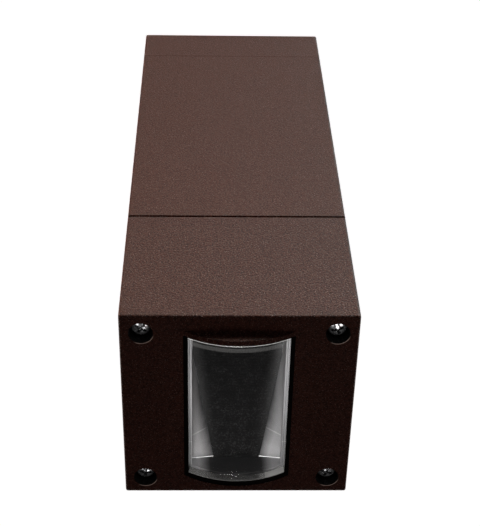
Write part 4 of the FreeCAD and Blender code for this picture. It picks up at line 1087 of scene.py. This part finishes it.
class BOLLARD_OT_small_screws(Operator):
    """Set the small zinc-plated screws of the frame, sink, driver, grip and earth"""

    bl_idname = "bollard.small_screws"
    bl_label = "Small screws"

    def execute(self, context):
        for name, head_share, way in SMALL_SCREWS:
            solids = solids_of(name)
            low, high = solids[0]
            radius = (high.x - low.x) / 2
            shank = radius / head_share
            height = shank * 1.28
            if way == "down":
                length = high.z - low.z - height
                spots = [((a.x + b.x) / 2, (a.y + b.y) / 2, a.z + height) for a, b in solids]
                turn = (math.pi, 0, 0)
            else:
                length = high.y - low.y - height
                spots = [((a.x + b.x) / 2, a.y + height, (a.z + b.z) / 2) for a, b in solids]
                turn = (math.pi / 2, 0, 0)
            mesh = pan_head_mesh("small_screw", radius, height, shank, length, steps=28)
            made = place_copies("zinc_" + name, mesh, spots, "zinc", turn=turn, spin=SCREW_SPIN)
            finish_piece(made, "head", "zinc", [name])
        return {"FINISHED"}


class BOLLARD_OT_leads(Operator):
    """Make the insulated leads inside"""

    bl_idname = "bollard.leads"
    bl_label = "Leads"

    def execute(self, context):
        for name, slot, look in LEADS:
            mesh = mesh_of(merged(name), name)
            smooth_by_angle(mesh, 50)
            finish_piece(add_object("insulated_" + name, mesh), "head", look, [name])
        return {"FINISHED"}


# ---------------------------------------------------------------- stage

def area_light(name, place, aim, wide, high, power, colour):
    """A soft rectangular light that points at aim."""
    lamp = bpy.data.lights.new(name, "AREA")
    lamp.shape = "RECTANGLE"
    lamp.size = wide
    lamp.size_y = high
    lamp.energy = power
    lamp.color = colour
    made = bpy.data.objects.new(name, lamp)
    made.location = place
    made.rotation_euler = (Vector(aim) - Vector(place)).to_track_quat("-Z", "Y").to_euler()
    bpy.context.scene.collection.objects.link(made)
    return made


class BOLLARD_OT_stage(Operator):
    """Set the pale floor, the backdrop, the lights and the camera"""

    bl_idname = "bollard.stage"
    bl_label = "Stage"

    def execute(self, context):
        stage = settings().stage
        self.make_floor()
        self.make_lights(stage)
        self.make_camera(context, stage)
        world = bpy.data.worlds.new("studio")
        world.use_nodes = True
        feed(world.node_tree.nodes["Background"], Color=(0.95, 0.97, 1.0, 1), Strength=stage.ambient)
        context.scene.world = world
        context.scene.view_settings.view_transform = "Standard"
        return {"FINISHED"}

    def make_floor(self):
        floor, dome = bmesh.new(), bmesh.new()
        bmesh.ops.create_grid(floor, x_segments=2, y_segments=2, size=5)
        bmesh.ops.create_uvsphere(dome, u_segments=48, v_segments=24, radius=7)
        bmesh.ops.reverse_faces(dome, faces=dome.faces)
        for name, shape, glow in (("studio_floor", floor, 1.2), ("studio_backdrop", dome, 1.25)):
            made = add_object(name, mesh_of(shape, name))
            made.data.materials.append(studio_white(name, glow))
            for ray in ("diffuse", "glossy", "transmission", "shadow"):
                setattr(made, "visible_" + ray, False)

    def make_lights(self, stage):
        post, over_head = (0, 0, 0.16), (0, 0, 0.6)
        for name, place, share, colour in (("key_warm", (1.15, -1.2, -0.65), 1.55, (1.0, 0.80, 0.68)),
                                           ("key_cool", (-1.15, -1.2, -0.65), 1.2, (0.70, 0.98, 1.0))):
            made = area_light(name, place, over_head, 1.3, 1.8, share * stage.key_power, colour)
            made.data.spread = math.radians(36)
            made.visible_glossy = name == "key_cool"
        for name, place, wide in (("right_fill", (1.5, 0.5, -0.2), 0.8),
                                  ("left_fill", (-1.5, 0.5, -0.2), 0.8),
                                  ("back_fill", (0, 1.6, -0.2), 1.2)):
            area_light(name, place, post, wide, 0.6, stage.fill_power, (1, 0.97, 0.95))
        for name, place in (("glint_right", (-0.5, 0.2, 1.3)), ("glint_left", (0.6, -0.5, 1.2))):
            area_light(name, place, HEAD_TOP, 0.3, 0.3, stage.glint_power, (1, 0.72, 0.62))
        for number, (place, wide, watts) in enumerate(SCREW_LIGHTS):
            self.light_some(f"screw_light_{number}", place, HEAD_TOP, wide, watts, ["long_head_screws"])
        for name, place, aim, wide, share in (
                ("window_light", (0.10, -0.35, 0.95), (0, 0.01, 0.28), 0.35, 1.0),
                ("window_far_light", (0.05, 0.22, 1.0), (0, 0, 0.28), 0.3, 0.6)):
            self.light_some(name, place, aim, wide, share * stage.optic_power, IN_WINDOW)

    def light_some(self, name, place, aim, wide, power, pieces):
        """A light that only the named pieces receive."""
        lamp = area_light(name, place, aim, wide, wide, power, (1, 0.99, 0.985))
        lit = bpy.data.collections.new(name + "_pieces")
        for piece in pieces:
            lit.objects.link(bpy.data.objects[piece])
        lamp.light_linking.receiver_collection = lit

    def make_camera(self, context, stage):
        ahead = Vector(stage.camera_aim).normalized()
        right = ahead.cross(Vector(stage.camera_up)).normalized()
        above = right.cross(ahead)
        turn = Matrix((right, above, -ahead)).transposed()
        lens = bpy.data.cameras.new("camera")
        lens.lens = stage.lens
        made = bpy.data.objects.new("camera", lens)
        made.location = stage.camera_place
        made.rotation_euler = turn.to_euler()
        context.scene.collection.objects.link(made)
        context.scene.camera = made


class BOLLARD_PT_panel(Panel):
    """Lists the bollard light's pieces and settings"""

    bl_label = "Bollard light"
    bl_idname = "BOLLARD_PT_panel"
    bl_space_type = "VIEW_3D"
    bl_region_type = "UI"
    bl_category = "Bollard"

    def draw(self, context):
        held = context.scene.bollard
        for group in (held.finish, held.shape, held.stage):
            box = self.layout.box()
            for name in group.__annotations__:
                box.prop(group, name)
        for operator in OPERATORS:
            self.layout.operator(operator.bl_idname)


OPERATORS = (
    BOLLARD_OT_post,
    BOLLARD_OT_head_shell,
    BOLLARD_OT_long_screws,
    BOLLARD_OT_set_screws,
    BOLLARD_OT_window,
    BOLLARD_OT_optics,
    BOLLARD_OT_light_engine,
    BOLLARD_OT_gear,
    BOLLARD_OT_small_screws,
    BOLLARD_OT_leads,
    BOLLARD_OT_stage,
)
CLASSES = (FinishSettings, ShapeSettings, StageSettings, BollardSettings) + OPERATORS + (BOLLARD_PT_panel,)


def register():
    for kind in CLASSES:
        bpy.utils.register_class(kind)
    bpy.types.Scene.bollard = PointerProperty(type=BollardSettings)


def unregister():
    del bpy.types.Scene.bollard
    for kind in reversed(CLASSES):
        bpy.utils.unregister_class(kind)


def main():
    register()
    bpy.ops.bollard.post()
    bpy.ops.bollard.head_shell()
    bpy.ops.bollard.long_screws()
    bpy.ops.bollard.set_screws()
    bpy.ops.bollard.window()
    bpy.ops.bollard.optics()
    bpy.ops.bollard.light_engine()
    bpy.ops.bollard.gear()
    bpy.ops.bollard.small_screws()
    bpy.ops.bollard.leads()
    bpy.ops.bollard.stage()


if __name__ == "__main__":
    main()
